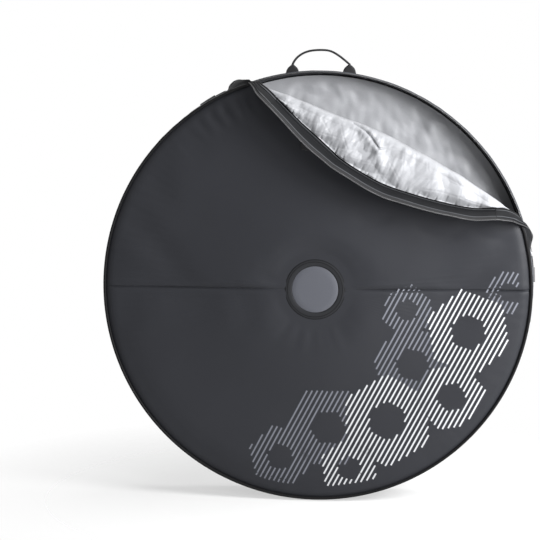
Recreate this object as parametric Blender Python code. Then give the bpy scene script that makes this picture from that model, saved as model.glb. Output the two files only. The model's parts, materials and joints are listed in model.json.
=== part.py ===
"""A padded round bag for one bicycle wheel, standing upright with its upper corner folded open.

Metres, +Z up. The bag's axis runs along Y, its front faces -Y, and it stands on a small flat at the origin.
Angles are seen from the front and run anticlockwise from +X.
"""

import math

import bmesh
import bpy
from mathutils import Matrix, Vector

# Bag
RIM_RADIUS = 0.380  # outside of the gusset, halfway between its two edges
GUSSET_BULGE = 0.004  # how much smaller the gusset is at its edges
BAG_DEPTH = 0.110  # from one piping's centre to the other's
FOOT_FLAT_DEPTH = 0.0016  # how far the standing flat is pressed into the gusset
DOME_HEIGHT = 0.016  # how far the hub stands out of the panel's flat border
FLAT_BORDER = 0.018  # from the fold of the corner in to where that dome starts

# Layers and seams
SKIN_THICKNESS = 0.0012
FOAM_THICKNESS = 0.004
LINING_THICKNESS = 0.0008
GUSSET_THICKNESS = 0.003
PIPING_RADIUS = 0.0025
SKIN_PROUD = 0.001  # how far the cover's outer face stands outside the piping's centre
LAYER_GAP = 0.0003
SEAM_GAP = 0.0006

# Hub reinforcement
HUB_RING_RADIUS = 0.052
HUB_RING_WIDTH = 0.0115  # from the ring's outside in to the disc
HUB_RING_THICKNESS = 0.002
HUB_DISC_THICKNESS = 0.0016
HUB_PLATE_INSET = 0.006  # from the ring's outside in to the plate's
HUB_FLAT_MARGIN = 0.004  # flat cover around the ring

# Zip
ZIP_BELOW_CENTRE_DEG = 9.0  # how far the zip runs below the bag's centre at each side
STRIP_TO_TEETH = 0.0048  # the teeth's showing edge, from the gusset strip's
TEETH_WIDTH = 0.002
TEETH_THICKNESS = 0.002
TEETH_SPLIT = 0.0012  # from the zip's middle to the teeth
TAPE_WIDTH = 0.015
TAPE_THICKNESS = 0.0006
STOP_LENGTH_DEG = 0.9
STOP_THICKNESS = 0.003

# Sliders and their pulls
SLIDER_LENGTH = 0.014
SLIDER_WIDTH = 0.011
SLIDER_PLATE = 0.0012
SLIDER_CLEARANCE = 0.00045
DIVIDER_WIDTH = 0.0014
DIVIDER_LENGTH = 0.004
BAIL_LENGTH = 0.008
BAIL_WIDTH = 0.0022
BAIL_BAR = 0.001
BAIL_OPENING = 0.0022
BAIL_SUNK_SHARE = 0.25  # of the bar's thickness, below its feet's tops
PULL_WIRE_RADIUS = 0.0007
PULL_RING_WIDTH = 0.007
PULL_RING_LENGTH = 0.010
PULL_RING_CORNER_SHARE = 0.25  # of the ring's width
PULL_CORD_RADIUS = 0.001
PULL_CORD_LENGTH = 0.020
SLEEVE_RADIUS = 0.0027
SLEEVE_TIP_RADIUS = 0.0021
LEFT_SLEEVE_LENGTH = 0.031
RIGHT_SLEEVE_LENGTH = 0.026
PULL_LIFT = 0.0008  # how far the cord and sleeve lie above the pull's pivot
LEFT_SLIDER_DEG = 114.0
RIGHT_SLIDER_DEG = 10.0

# Folded corner
FOLD_BELOW_RIM = 0.092  # from the bag's outside in to the fold, at the fold's middle
FOLD_DIRECTION_DEG = 62.7
FOLD_OPENING = 0.016  # between the folded corner and the front
FOLD_LEG = 0.004  # flat edge on each side of the roll
FLARE_DEG = 20.0  # how far the corner's gusset strip leans outwards
MOUTH_MARGIN_DEG = 1.0  # between the fold's ends and the fixed front strips

# Handles
HANDLE_SPAN = 0.102  # between the middles of the two feet
HANDLE_RISE = 0.028  # from the feet to the outside of the arch
HANDLE_THICKNESS = 0.0038
HANDLE_WIDTH = 0.010  # of the webbing folded lengthwise
HANDLE_ABOVE_RIM = 0.0107  # from the bag's outside up to the handle's feet
ANCHOR_WIDTH = 0.025
ANCHOR_HEIGHT = 0.0475
ANCHOR_NECK_WIDTH = 0.009
ANCHOR_NECK_HEIGHT = 0.013
ANCHOR_THICKNESS = 0.0016
ANCHOR_STEP_HEIGHT = 0.003  # of the slope by which the tab steps out over the piping

# Facets
PANEL_STEP_DEG = 6.0
SOFT_STEP_DEG = 9.0
RIM_STEP_DEG = 3.0
BOTTOM_STEP_DEG = 4.0
PIPING_STEP_DEG = 4.5
PIPING_SIDES = 6
DOME_RINGS = 3
FOLD_STEPS = 10
HANDLE_STEPS = 14
PULL_STEPS = 5
SHARP_ANGLE_DEG = 40.0
MERGE_DISTANCE = 0.00001
CUT_OVERRUN = 0.05

# Worked out from the sizes above
HALF_DEPTH = BAG_DEPTH / 2
CENTRE_HEIGHT = RIM_RADIUS - FOOT_FLAT_DEPTH
CENTRE = Vector((0, 0, CENTRE_HEIGHT))
FOLD_DISTANCE = RIM_RADIUS - FOLD_BELOW_RIM
DOME_RADIUS = FOLD_DISTANCE - FLAT_BORDER
HANDLE_FOOT_HEIGHT = RIM_RADIUS + HANDLE_ABOVE_RIM
EDGE_RADIUS = RIM_RADIUS - GUSSET_BULGE
PIPING_CENTRE_RADIUS = EDGE_RADIUS - GUSSET_THICKNESS / 2
PANEL_RADIUS = PIPING_CENTRE_RADIUS - PIPING_RADIUS - SEAM_GAP
HUB_DISC_RADIUS = HUB_RING_RADIUS - HUB_RING_WIDTH
HUB_PLATE_RADIUS = HUB_RING_RADIUS - HUB_PLATE_INSET
HUB_FLAT_RADIUS = HUB_RING_RADIUS + HUB_FLAT_MARGIN
FACE = HALF_DEPTH + SKIN_PROUD
FOAM_DEPTH = SKIN_THICKNESS + LAYER_GAP
LINING_DEPTH = FOAM_DEPTH + FOAM_THICKNESS + LAYER_GAP
STACK_DEPTH = LINING_DEPTH + LINING_THICKNESS
STRIP_START = PIPING_RADIUS + LAYER_GAP
TEETH_END = HALF_DEPTH - TEETH_SPLIT
TAPE_END = TEETH_END - TEETH_WIDTH - LAYER_GAP
TAPE_START = TAPE_END - TAPE_WIDTH
STRIP_END = TEETH_END - TEETH_WIDTH - STRIP_TO_TEETH
TAPE_DEPTH = GUSSET_THICKNESS + LAYER_GAP
TEETH_DEPTH = TAPE_DEPTH + TAPE_THICKNESS / 2 - TEETH_THICKNESS / 2
TEETH_RADIUS = RIM_RADIUS - TEETH_DEPTH - TEETH_THICKNESS / 2
FOLD_DIRECTION = math.radians(FOLD_DIRECTION_DEG)
FOLD_OUTWARD = Vector((math.cos(FOLD_DIRECTION), 0, math.sin(FOLD_DIRECTION)))
FOLD_AXIS = Vector((-math.sin(FOLD_DIRECTION), 0, math.cos(FOLD_DIRECTION)))
FOLD_INNER_RADIUS = FOLD_OPENING / 2
FOLD_PIVOT = FOLD_OUTWARD * FOLD_DISTANCE + Vector((0, -FACE - FOLD_INNER_RADIUS, 0))
PIPING_PASS = HALF_DEPTH + PIPING_RADIUS + LAYER_GAP
HANDLE_OFFSET = PIPING_PASS + ANCHOR_THICKNESS + SEAM_GAP + HANDLE_WIDTH / 2
GAP_DEG = math.degrees(LAYER_GAP / RIM_RADIUS)
MOUTH_HALF_DEG = MOUTH_MARGIN_DEG + math.degrees(
    math.acos((FOLD_DISTANCE - FOLD_LEG) / EDGE_RADIUS)
)
MOUTH_START_DEG = FOLD_DIRECTION_DEG - MOUTH_HALF_DEG
MOUTH_END_DEG = FOLD_DIRECTION_DEG + MOUTH_HALF_DEG
FLAP_STRIP_HALF_DEG = math.degrees(
    math.acos((FOLD_DISTANCE + FOLD_LEG + SEAM_GAP) / (EDGE_RADIUS - GUSSET_THICKNESS))
)
ZIP_START_DEG = -ZIP_BELOW_CENTRE_DEG
ZIP_END_DEG = 180.0 + ZIP_BELOW_CENTRE_DEG
FULL_TURN_DEG = 360.0


def clear_scene():
    for obj in list(bpy.data.objects):
        bpy.data.objects.remove(obj, do_unlink=True)


def make_collection(name):
    collection = bpy.data.collections.new(name)
    bpy.context.scene.collection.children.link(collection)
    return collection


clear_scene()
BAG = make_collection("bike_wheel_bag")
CUTTERS = make_collection("cutters")


def make_material(name, colour, roughness, metallic=0.0):
    material = bpy.data.materials.new(name)
    material.use_nodes = True
    shader = material.node_tree.nodes["Principled BSDF"]
    shader.inputs["Base Color"].default_value = (*colour, 1.0)
    shader.inputs["Roughness"].default_value = roughness
    shader.inputs["Metallic"].default_value = metallic
    material.diffuse_color = (*colour, 1.0)
    return material


COVER = make_material("cover_fabric", (0.035, 0.036, 0.04), 0.75)
FOAM = make_material("grey_foam", (0.18, 0.18, 0.19), 0.95)
LINING = make_material("silver_lining", (0.6, 0.6, 0.62), 0.45)
PIPING = make_material("piping", (0.012, 0.012, 0.013), 0.5)
GUSSET = make_material("gusset_fabric", (0.015, 0.015, 0.017), 0.7)
RING_PATCH = make_material("hub_ring_patch", (0.06, 0.06, 0.065), 0.6)
DISC_PATCH = make_material("hub_disc_patch", (0.15, 0.155, 0.18), 0.6)
STIFFENER = make_material("stiffener_plastic", (0.08, 0.08, 0.08), 0.5)
ZIP_TAPE = make_material("zip_tape", (0.012, 0.012, 0.012), 0.8)
ZIP_COIL = make_material("zip_coil", (0.02, 0.02, 0.02), 0.35)
SLIDER_METAL = make_material("slider_metal", (0.05, 0.05, 0.055), 0.35, 1.0)
RING_METAL = make_material("pull_ring_metal", (0.4, 0.4, 0.42), 0.3, 1.0)
PULL_CORD = make_material("pull_cord", (0.02, 0.02, 0.02), 0.8)
RUBBER = make_material("pull_sleeve_rubber", (0.015, 0.015, 0.015), 0.5)
WEBBING = make_material("handle_webbing", (0.012, 0.012, 0.013), 0.65)


def place(obj, material, parent=None, origin=None):
    """Puts a piece modelled about the bag's centre into the bag, or under an empty that stands at origin."""
    obj.data.materials.clear()
    obj.data.materials.append(material)
    if parent is None:
        obj.location += CENTRE
    else:
        obj.parent = parent
        obj.location -= origin
    return obj


def make_empty(name, location, rotation, parent=None):
    empty = bpy.data.objects.new(name, None)
    empty.location = location
    empty.rotation_euler = rotation.to_euler()
    empty.parent = parent
    BAG.objects.link(empty)
    return empty


def object_from(bm, name, collection=BAG):
    bmesh.ops.recalc_face_normals(bm, faces=bm.faces)
    mesh = bpy.data.meshes.new(name)
    bm.to_mesh(mesh)
    bm.free()
    mesh.shade_smooth()
    mesh.set_sharp_from_angle(angle=math.radians(SHARP_ANGLE_DEG))
    obj = bpy.data.objects.new(name, mesh)
    collection.objects.link(obj)
    return obj


def revolve(name, profile, start_deg=0.0, end_deg=FULL_TURN_DEG, step_deg=RIM_STEP_DEG):
    """A (radius, y) outline turned about the bag's axis. A full turn may start and end on the axis."""
    full = end_deg - start_deg >= FULL_TURN_DEG
    start = math.radians(start_deg)
    bm = bmesh.new()
    verts = [bm.verts.new((r * math.cos(start), y, r * math.sin(start))) for r, y in profile]
    if full:
        pairs = zip(verts, verts[1:] + verts[:1])
        on_axis = profile[0][0] == 0 and profile[-1][0] == 0
        for a, b in list(pairs)[: -1 if on_axis else None]:
            bm.edges.new((a, b))
    else:
        bm.faces.new(verts)
    bmesh.ops.spin(
        bm,
        geom=bm.verts[:] + bm.edges[:] + bm.faces[:],
        cent=(0, 0, 0),
        axis=(0, -1, 0),
        angle=math.radians(end_deg - start_deg),
        steps=round((end_deg - start_deg) / step_deg),
    )
    bmesh.ops.remove_doubles(bm, verts=bm.verts[:], dist=MERGE_DISTANCE)
    return object_from(bm, name)


def flat_piece(name, outline, thickness, rotation, location):
    """A flat outline with a thickness, drawn in its own XY plane."""
    curve = bpy.data.curves.new(name, "CURVE")
    curve.dimensions = "2D"
    curve.fill_mode = "BOTH"
    curve.extrude = thickness / 2
    spline = curve.splines.new("POLY")
    spline.points.add(len(outline) - 1)
    for point, (x, y) in zip(spline.points, outline):
        point.co = (x, y, 0, 1)
    spline.use_cyclic_u = True
    obj = bpy.data.objects.new(name, curve)
    obj.rotation_euler = rotation.to_euler()
    obj.location = location
    BAG.objects.link(obj)
    return obj


def as_mesh(obj):
    """The same piece with its curve made a mesh, for a Boolean."""
    bpy.context.view_layer.update()
    evaluated = obj.evaluated_get(bpy.context.evaluated_depsgraph_get())
    mesh = bpy.data.meshes.new_from_object(evaluated)
    bm = bmesh.new()
    bm.from_mesh(mesh)
    bmesh.ops.remove_doubles(bm, verts=bm.verts[:], dist=MERGE_DISTANCE)
    bpy.data.meshes.remove(mesh)
    name, matrix = obj.name, obj.matrix_world.copy()
    bpy.data.objects.remove(obj, do_unlink=True)
    made = object_from(bm, name)
    made.matrix_world = matrix
    return made


def tube(name, points, radii, resolution=2, cyclic=False):
    curve = bpy.data.curves.new(name, "CURVE")
    curve.dimensions = "3D"
    curve.bevel_depth = 1.0
    curve.bevel_resolution = resolution
    curve.use_fill_caps = not cyclic
    spline = curve.splines.new("POLY")
    spline.points.add(len(points) - 1)
    for point, place_at, radius in zip(spline.points, points, radii):
        point.co = (*place_at, 1)
        point.radius = radius
    spline.use_cyclic_u = cyclic
    obj = bpy.data.objects.new(name, curve)
    BAG.objects.link(obj)
    return obj


def make_block(name, low, high, collection=BAG):
    size = [b - a for a, b in zip(low, high)]
    middle = [(a + b) / 2 for a, b in zip(low, high)]
    bm = bmesh.new()
    matrix = Matrix.Translation(middle) @ Matrix.Diagonal((*size, 1))
    bmesh.ops.create_cube(bm, size=1.0, matrix=matrix)
    return object_from(bm, name, collection)


def as_cutter(obj):
    obj.hide_render = True
    obj.display_type = "WIRE"
    for collection in obj.users_collection:
        collection.objects.unlink(obj)
    CUTTERS.objects.link(obj)
    return obj


def combine(obj, other, operation):
    modifier = obj.modifiers.new(operation.lower(), "BOOLEAN")
    modifier.operation = operation
    modifier.solver = "EXACT"
    modifier.object = other


UPRIGHT = Matrix.Rotation(math.radians(90), 4, "X")  # a drawing's x and y become X and Z
NO_TURN = Matrix.Identity(4)


def polar(radius, degrees):
    angle = math.radians(degrees)
    return radius * math.cos(angle), radius * math.sin(angle)


def dome(radius):
    """How far the panel stands out at this radius: flat at the hub and at the border."""
    run = (radius - HUB_FLAT_RADIUS) / (DOME_RADIUS - HUB_FLAT_RADIUS)
    run = min(max(run, 0.0), 1.0)
    return DOME_HEIGHT * (1 - run * run * (3 - 2 * run))


def layer_profile(side, depth, thickness, inner, outer):
    """One layer of a panel, depth below its outer face. side is -1 at the front and 1 at the back."""
    slope = DOME_RADIUS - HUB_FLAT_RADIUS
    between = [HUB_FLAT_RADIUS + slope * k / DOME_RINGS for k in range(DOME_RINGS + 1)]
    radii = [inner] + [r for r in between if inner < r < outer] + [outer]
    face = [(r, side * (FACE + dome(r) - depth)) for r in radii]
    back = [(r, side * (FACE + dome(r) - depth - thickness)) for r in reversed(radii)]
    return face + back


def gusset_point(along, depth, flare_deg=None):
    """(radius, y) on the gusset: along from the front piping's centre, depth below its outer face."""
    if flare_deg is None:
        y = along - HALF_DEPTH
        return RIM_RADIUS - GUSSET_BULGE * (y / HALF_DEPTH) ** 2 - depth, y
    lean = math.radians(flare_deg)
    above = GUSSET_THICKNESS / 2 - depth
    radius = PIPING_CENTRE_RADIUS + along * math.sin(lean) + above * math.cos(lean)
    return radius, along * math.cos(lean) - above * math.sin(lean) - HALF_DEPTH


def gusset_profile(start, end, depth, thickness, spans, flare_deg=None):
    steps = [start + (end - start) * k / spans for k in range(spans + 1)]
    outside = [gusset_point(s, depth, flare_deg) for s in steps]
    inside = [gusset_point(s, depth + thickness, flare_deg) for s in reversed(steps)]
    return outside + inside


def to_back(profile):
    return [(radius, -y) for radius, y in reversed(profile)]


def piping_profile(side):
    points = []
    for k in range(PIPING_SIDES):
        angle = 2 * math.pi * (k + 0.5) / PIPING_SIDES
        radius = PIPING_CENTRE_RADIUS + PIPING_RADIUS * math.cos(angle)
        points.append((radius, side * HALF_DEPTH + PIPING_RADIUS * math.sin(angle)))
    return points


def make_fold_cutter(name):
    """A block over everything beyond the fixed edge of the fold."""
    reach = RIM_RADIUS + CUT_OVERRUN
    edge = FOLD_DISTANCE - FOLD_LEG
    block = make_block(name, (edge, -reach, -reach), (edge + reach, 0, reach))
    block.rotation_euler = (0, -FOLD_DIRECTION, 0)
    block.location = CENTRE
    return as_cutter(block)


def make_panel(side_name, side, fold_cutter):
    """Cover halves, foam and lining of one face."""
    cover = layer_profile(
        side, 0, SKIN_THICKNESS, HUB_RING_RADIUS + LAYER_GAP, PANEL_RADIUS
    )
    upper = revolve(f"{side_name}_panel_upper", cover, 0, 180, PANEL_STEP_DEG)
    upper.location.z = LAYER_GAP / 2
    place(upper, COVER)
    lower = revolve(f"{side_name}_panel_lower", cover, 180, 360, PANEL_STEP_DEG)
    lower.location.z = -LAYER_GAP / 2
    place(lower, COVER)
    foam = revolve(
        f"{side_name}_foam",
        layer_profile(
            side, FOAM_DEPTH, FOAM_THICKNESS, HUB_PLATE_RADIUS + LAYER_GAP, PANEL_RADIUS
        ),
        step_deg=SOFT_STEP_DEG,
    )
    place(foam, FOAM)
    lining = revolve(
        f"{side_name}_lining",
        layer_profile(side, LINING_DEPTH, LINING_THICKNESS, 0, PANEL_RADIUS),
        step_deg=SOFT_STEP_DEG,
    )
    place(lining, LINING)
    if fold_cutter:
        for obj in (upper, foam, lining):
            combine(obj, fold_cutter, "DIFFERENCE")


def make_hub(side_name, side):
    """The round patch over the axle: a ring, a disc in it, and the stiff plate behind them."""
    face = FACE + DOME_HEIGHT

    def disc(name, inner, outer, top, thickness, material):
        profile = [
            (inner, side * top),
            (outer, side * top),
            (outer, side * (top - thickness)),
            (inner, side * (top - thickness)),
        ]
        place(revolve(name, profile, step_deg=SOFT_STEP_DEG), material)

    base = face - SKIN_THICKNESS
    disc(
        f"{side_name}_hub_ring",
        HUB_DISC_RADIUS + LAYER_GAP,
        HUB_RING_RADIUS,
        base + HUB_RING_THICKNESS,
        HUB_RING_THICKNESS,
        RING_PATCH,
    )
    disc(
        f"{side_name}_hub_disc",
        0,
        HUB_DISC_RADIUS,
        base + HUB_DISC_THICKNESS,
        HUB_DISC_THICKNESS,
        DISC_PATCH,
    )
    disc(
        f"{side_name}_hub_plate",
        0,
        HUB_PLATE_RADIUS,
        face - FOAM_DEPTH,
        FOAM_THICKNESS,
        STIFFENER,
    )


def make_piping():
    """A cord in a fabric sleeve along each panel's seam, open at the mouth in front."""
    end = MOUTH_START_DEG + FULL_TURN_DEG
    front = revolve("front_piping", piping_profile(-1), MOUTH_END_DEG, end, PIPING_STEP_DEG)
    place(front, PIPING)
    place(revolve("back_piping", piping_profile(1), step_deg=PIPING_STEP_DEG), PIPING)


def make_foot_cutter():
    """A block under the floor, which presses the standing flat into the gusset."""
    reach = RIM_RADIUS + CUT_OVERRUN
    return as_cutter(make_block("foot_cutter", (-reach, -reach, -reach), (reach, reach, 0)))


def make_gusset():
    half = gusset_profile(STRIP_START, STRIP_END, 0, GUSSET_THICKNESS, spans=2)
    place(revolve("gusset_rear", to_back(half), ZIP_START_DEG, ZIP_END_DEG), GUSSET)
    place(revolve("gusset_front_left", half, MOUTH_END_DEG, ZIP_END_DEG), GUSSET)
    place(revolve("gusset_front_right", half, ZIP_START_DEG, MOUTH_START_DEG), GUSSET)
    whole = gusset_profile(STRIP_START, BAG_DEPTH - STRIP_START, 0, GUSSET_THICKNESS, spans=4)
    bottom = revolve(
        "gusset_bottom",
        whole,
        ZIP_END_DEG + GAP_DEG,
        FULL_TURN_DEG + ZIP_START_DEG - GAP_DEG,
        BOTTOM_STEP_DEG,
    )
    place(bottom, GUSSET)
    combine(bottom, make_foot_cutter(), "DIFFERENCE")


def tape_profile(flare_deg=None):
    return gusset_profile(TAPE_START, TAPE_END, TAPE_DEPTH, TAPE_THICKNESS, 1, flare_deg)


def teeth_profile(flare_deg=None):
    start = TEETH_END - TEETH_WIDTH
    return gusset_profile(start, TEETH_END, TEETH_DEPTH, TEETH_THICKNESS, 1, flare_deg)


def make_zip():
    tape, teeth = tape_profile(), teeth_profile()
    stop = STOP_LENGTH_DEG + 2 * GAP_DEG
    arcs = {
        "front_left": (MOUTH_END_DEG, ZIP_END_DEG, 0, stop, False),
        "front_right": (ZIP_START_DEG, MOUTH_START_DEG, stop, 0, False),
        "rear": (ZIP_START_DEG, ZIP_END_DEG, stop, stop, True),
    }
    for name, (start, end, stop_before, stop_after, back) in arcs.items():
        turn = to_back if back else list
        place(revolve(f"zip_tape_{name}", turn(tape), start, end), ZIP_TAPE)
        first, last = start + stop_before, end - stop_after
        place(revolve(f"zip_teeth_{name}", turn(teeth), first, last), ZIP_COIL)
    reach = TEETH_SPLIT + TEETH_WIDTH
    low = TEETH_RADIUS - STOP_THICKNESS / 2
    high = TEETH_RADIUS + STOP_THICKNESS / 2
    stop_profile = [(high, -reach), (high, reach), (low, reach), (low, -reach)]
    for name, start in {
        "left": ZIP_END_DEG - GAP_DEG - STOP_LENGTH_DEG,
        "right": ZIP_START_DEG + GAP_DEG,
    }.items():
        end = start + STOP_LENGTH_DEG
        obj = revolve(f"zip_stop_{name}", stop_profile, start, end, STOP_LENGTH_DEG)
        place(obj, SLIDER_METAL)


def make_flap_hinge():
    turn = Matrix.Rotation(math.radians(180), 4, FOLD_AXIS)
    return make_empty("flap_hinge", CENTRE + FOLD_PIVOT, turn)


def flap_outline():
    """The corner beyond the fold as it lies when the bag is closed."""
    edge = FOLD_DISTANCE + FOLD_LEG
    half = math.degrees(math.acos(edge / PANEL_RADIUS))
    count = round(2 * half / PANEL_STEP_DEG)
    turns = [FOLD_DIRECTION_DEG - half + 2 * half * k / count for k in range(count + 1)]
    return [polar(PANEL_RADIUS, turn) for turn in turns]


def make_flap(hinge):
    outline = flap_outline()

    def sheet(name, depth, thickness, material):
        y = -(FACE - depth - thickness / 2)
        obj = flat_piece(name, outline, thickness, UPRIGHT, Vector((0, y, 0)))
        place(obj, material, hinge, FOLD_PIVOT)

    sheet("flap_panel", 0, SKIN_THICKNESS, COVER)
    sheet("flap_foam", FOAM_DEPTH, FOAM_THICKNESS, FOAM)
    sheet("flap_lining", LINING_DEPTH, LINING_THICKNESS, LINING)
    strip = gusset_profile(STRIP_START, STRIP_END, 0, GUSSET_THICKNESS, 1, FLARE_DEG)
    pieces = {
        "flap_piping": (piping_profile(-1), PIPING),
        "flap_gusset": (strip, GUSSET),
        "flap_zip_tape": (tape_profile(FLARE_DEG), ZIP_TAPE),
        "flap_zip_teeth": (teeth_profile(FLARE_DEG), ZIP_COIL),
    }
    for name, (profile, material) in pieces.items():
        start = FOLD_DIRECTION_DEG - FLAP_STRIP_HALF_DEG
        obj = revolve(name, profile, start, FOLD_DIRECTION_DEG + FLAP_STRIP_HALF_DEG)
        place(obj, material, hinge, FOLD_PIVOT)


def roll_outline(depth, thickness):
    """Half a turn of fabric round the fold's pivot, with a short leg on each side, in (outward, y)."""
    inner = FOLD_INNER_RADIUS + depth
    outer = inner + thickness
    leg = FOLD_LEG - LAYER_GAP
    turns = [math.pi / 2 - math.pi * k / FOLD_STEPS for k in range(FOLD_STEPS + 1)]
    out = [(outer * math.cos(turn), outer * math.sin(turn)) for turn in turns]
    back = [(inner * math.cos(turn), inner * math.sin(turn)) for turn in reversed(turns)]
    return [(-leg, outer)] + out + [(-leg, -outer), (-leg, -inner)] + back + [(-leg, inner)]


def make_fold():
    """The cover and the lining where they roll over into the folded corner."""
    columns = (FOLD_OUTWARD, Vector((0, 1, 0)), FOLD_OUTWARD.cross(Vector((0, 1, 0))))
    turn = Matrix([[c[row] for c in columns] for row in range(3)]).to_4x4()
    edge = FOLD_DISTANCE - FOLD_LEG
    length = 2 * math.sqrt(PANEL_RADIUS**2 - edge**2)
    reach = FACE + FOLD_OPENING + 2 * STACK_DEPTH
    bm = bmesh.new()
    bmesh.ops.create_cone(
        bm,
        cap_ends=True,
        segments=round(FULL_TURN_DEG / PANEL_STEP_DEG),
        radius1=PANEL_RADIUS,
        radius2=PANEL_RADIUS,
        depth=2 * reach,
        matrix=UPRIGHT,
    )
    rim = object_from(bm, "fold_rim_cutter")
    rim.location = CENTRE
    as_cutter(rim)
    layers = {
        "flap_fold_cover": (0, SKIN_THICKNESS + LAYER_GAP + FOAM_THICKNESS, COVER),
        "flap_fold_lining": (LINING_DEPTH, LINING_THICKNESS, LINING),
    }
    for name, (depth, thickness, material) in layers.items():
        obj = flat_piece(name, roll_outline(depth, thickness), length, turn, FOLD_PIVOT)
        obj = as_mesh(obj)
        place(obj, material)
        combine(obj, rim, "INTERSECT")


def handle_outline():
    """The arch between its two feet, seen from the front, with the feet's ends on the hinge line."""
    half = HANDLE_SPAN / 2
    turns = [math.pi * k / HANDLE_STEPS for k in range(HANDLE_STEPS + 1)]

    def arch(thickness_share):
        grow = HANDLE_THICKNESS * thickness_share
        rise = HANDLE_RISE - HANDLE_THICKNESS / 2 + grow
        return [((half + grow) * math.cos(turn), rise * math.sin(turn)) for turn in turns]

    return arch(0.5) + list(reversed(arch(-0.5)))


def make_anchor(name, x, side):
    """A webbing tab sewn on the panel. It steps out over the piping and narrows up to the handle's foot."""
    half, neck = ANCHOR_WIDTH / 2, ANCHOR_NECK_WIDTH / 2
    top = HANDLE_FOOT_HEIGHT - LAYER_GAP
    clear = math.sqrt(PANEL_RADIUS**2 - (HANDLE_SPAN / 2 + half) ** 2)
    rows = [
        (top - ANCHOR_HEIGHT, half, FACE + LAYER_GAP),
        (clear - ANCHOR_STEP_HEIGHT, half, FACE + LAYER_GAP),
        (clear, half, PIPING_PASS),
        (top - ANCHOR_NECK_HEIGHT, half, PIPING_PASS),
        (top, neck, PIPING_PASS),
    ]
    bm = bmesh.new()
    rings = []
    for z, wide, y in rows:
        far = y + ANCHOR_THICKNESS
        corners = [(-wide, y), (wide, y), (wide, far), (-wide, far)]
        rings.append([bm.verts.new((x + across, side * out, z)) for across, out in corners])
    bm.faces.new(rings[0])
    bm.faces.new(rings[-1])
    for lower, upper in zip(rings, rings[1:]):
        for a, b, c, d in zip(lower, lower[1:] + lower[:1], upper[1:] + upper[:1], upper):
            bm.faces.new((a, b, c, d))
    return object_from(bm, name)


def make_handle(name, side, turn, parent=None, pivot=None):
    """A folded webbing handle on its hinge line. side is -1 at the front and 1 at the back."""
    origin = Vector((0, side * HANDLE_OFFSET, HANDLE_FOOT_HEIGHT))
    at = CENTRE + origin if parent is None else origin - pivot
    hinge = make_empty(f"{name}_hinge", at, turn, parent)
    arch = flat_piece(name, handle_outline(), HANDLE_WIDTH, UPRIGHT, Vector((0, 0, 0)))
    place(arch, WEBBING, hinge, Vector((0, 0, 0)))
    ends = {"left": -HANDLE_SPAN / 2, "right": HANDLE_SPAN / 2}
    return [make_anchor(f"{name}_anchor_{end}", x, side) for end, x in ends.items()]


def make_handles(flap_hinge):
    for obj in make_handle("rear_handle", 1, NO_TURN):
        place(obj, WEBBING)
    folded = Matrix.Rotation(math.radians(180), 4, "X")
    reach = RIM_RADIUS + CUT_OVERRUN
    edge = FOLD_DISTANCE + FOLD_LEG
    cutter = make_block("anchor_cutter", (edge - reach, -reach, -reach), (edge, 0, reach))
    cutter.rotation_euler = (0, -FOLD_DIRECTION, 0)
    cutter.parent = flap_hinge
    cutter.location = -FOLD_PIVOT
    as_cutter(cutter)
    for obj in make_handle("front_handle", -1, folded, flap_hinge, FOLD_PIVOT):
        place(obj, WEBBING, flap_hinge, FOLD_PIVOT)
        combine(obj, cutter, "DIFFERENCE")


def make_slider(name):
    """Two plates round the teeth, the divider that joins them and the bail over them, at the top."""
    half_length, half_width = SLIDER_LENGTH / 2, SLIDER_WIDTH / 2
    reach = TEETH_THICKNESS / 2 + SLIDER_CLEARANCE
    top = TEETH_RADIUS + reach + SLIDER_PLATE
    bottom = TEETH_RADIUS - reach - SLIDER_PLATE
    bail = BAIL_LENGTH / 2
    bar_low, bar_high = top + BAIL_OPENING, top + BAIL_OPENING + BAIL_BAR
    sunk = SLIDER_PLATE / 2
    blocks = {
        "upper_plate": (-half_length, -half_width, top - SLIDER_PLATE, half_length, half_width, top),
        "lower_plate": (
            -half_length,
            -half_width,
            bottom,
            half_length,
            half_width,
            bottom + SLIDER_PLATE,
        ),
        "divider": (
            half_length - DIVIDER_LENGTH,
            -DIVIDER_WIDTH / 2,
            bottom + sunk,
            half_length - sunk,
            DIVIDER_WIDTH / 2,
            top - sunk,
        ),
        "bail_foot": (-bail, -BAIL_WIDTH / 2, top - sunk, BAIL_BAR - bail, BAIL_WIDTH / 2, bar_high),
        "bail_toe": (bail - BAIL_BAR, -BAIL_WIDTH / 2, top - sunk, bail, BAIL_WIDTH / 2, bar_high),
        "bail_bar": (
            BAIL_BAR / 2 - bail,
            -BAIL_WIDTH / 2,
            bar_low,
            bail - BAIL_BAR / 2,
            BAIL_WIDTH / 2,
            bar_high - BAIL_BAR * BAIL_SUNK_SHARE,
        ),
    }
    made = {
        key: make_block(f"{name}_{key}", box[:3], box[3:]) for key, box in blocks.items()
    }
    body = made.pop("upper_plate")
    for other in made.values():
        other.parent = body
        combine(body, as_cutter(other), "UNION")
    body.name = name
    return body, top + BAIL_OPENING / 2


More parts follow.
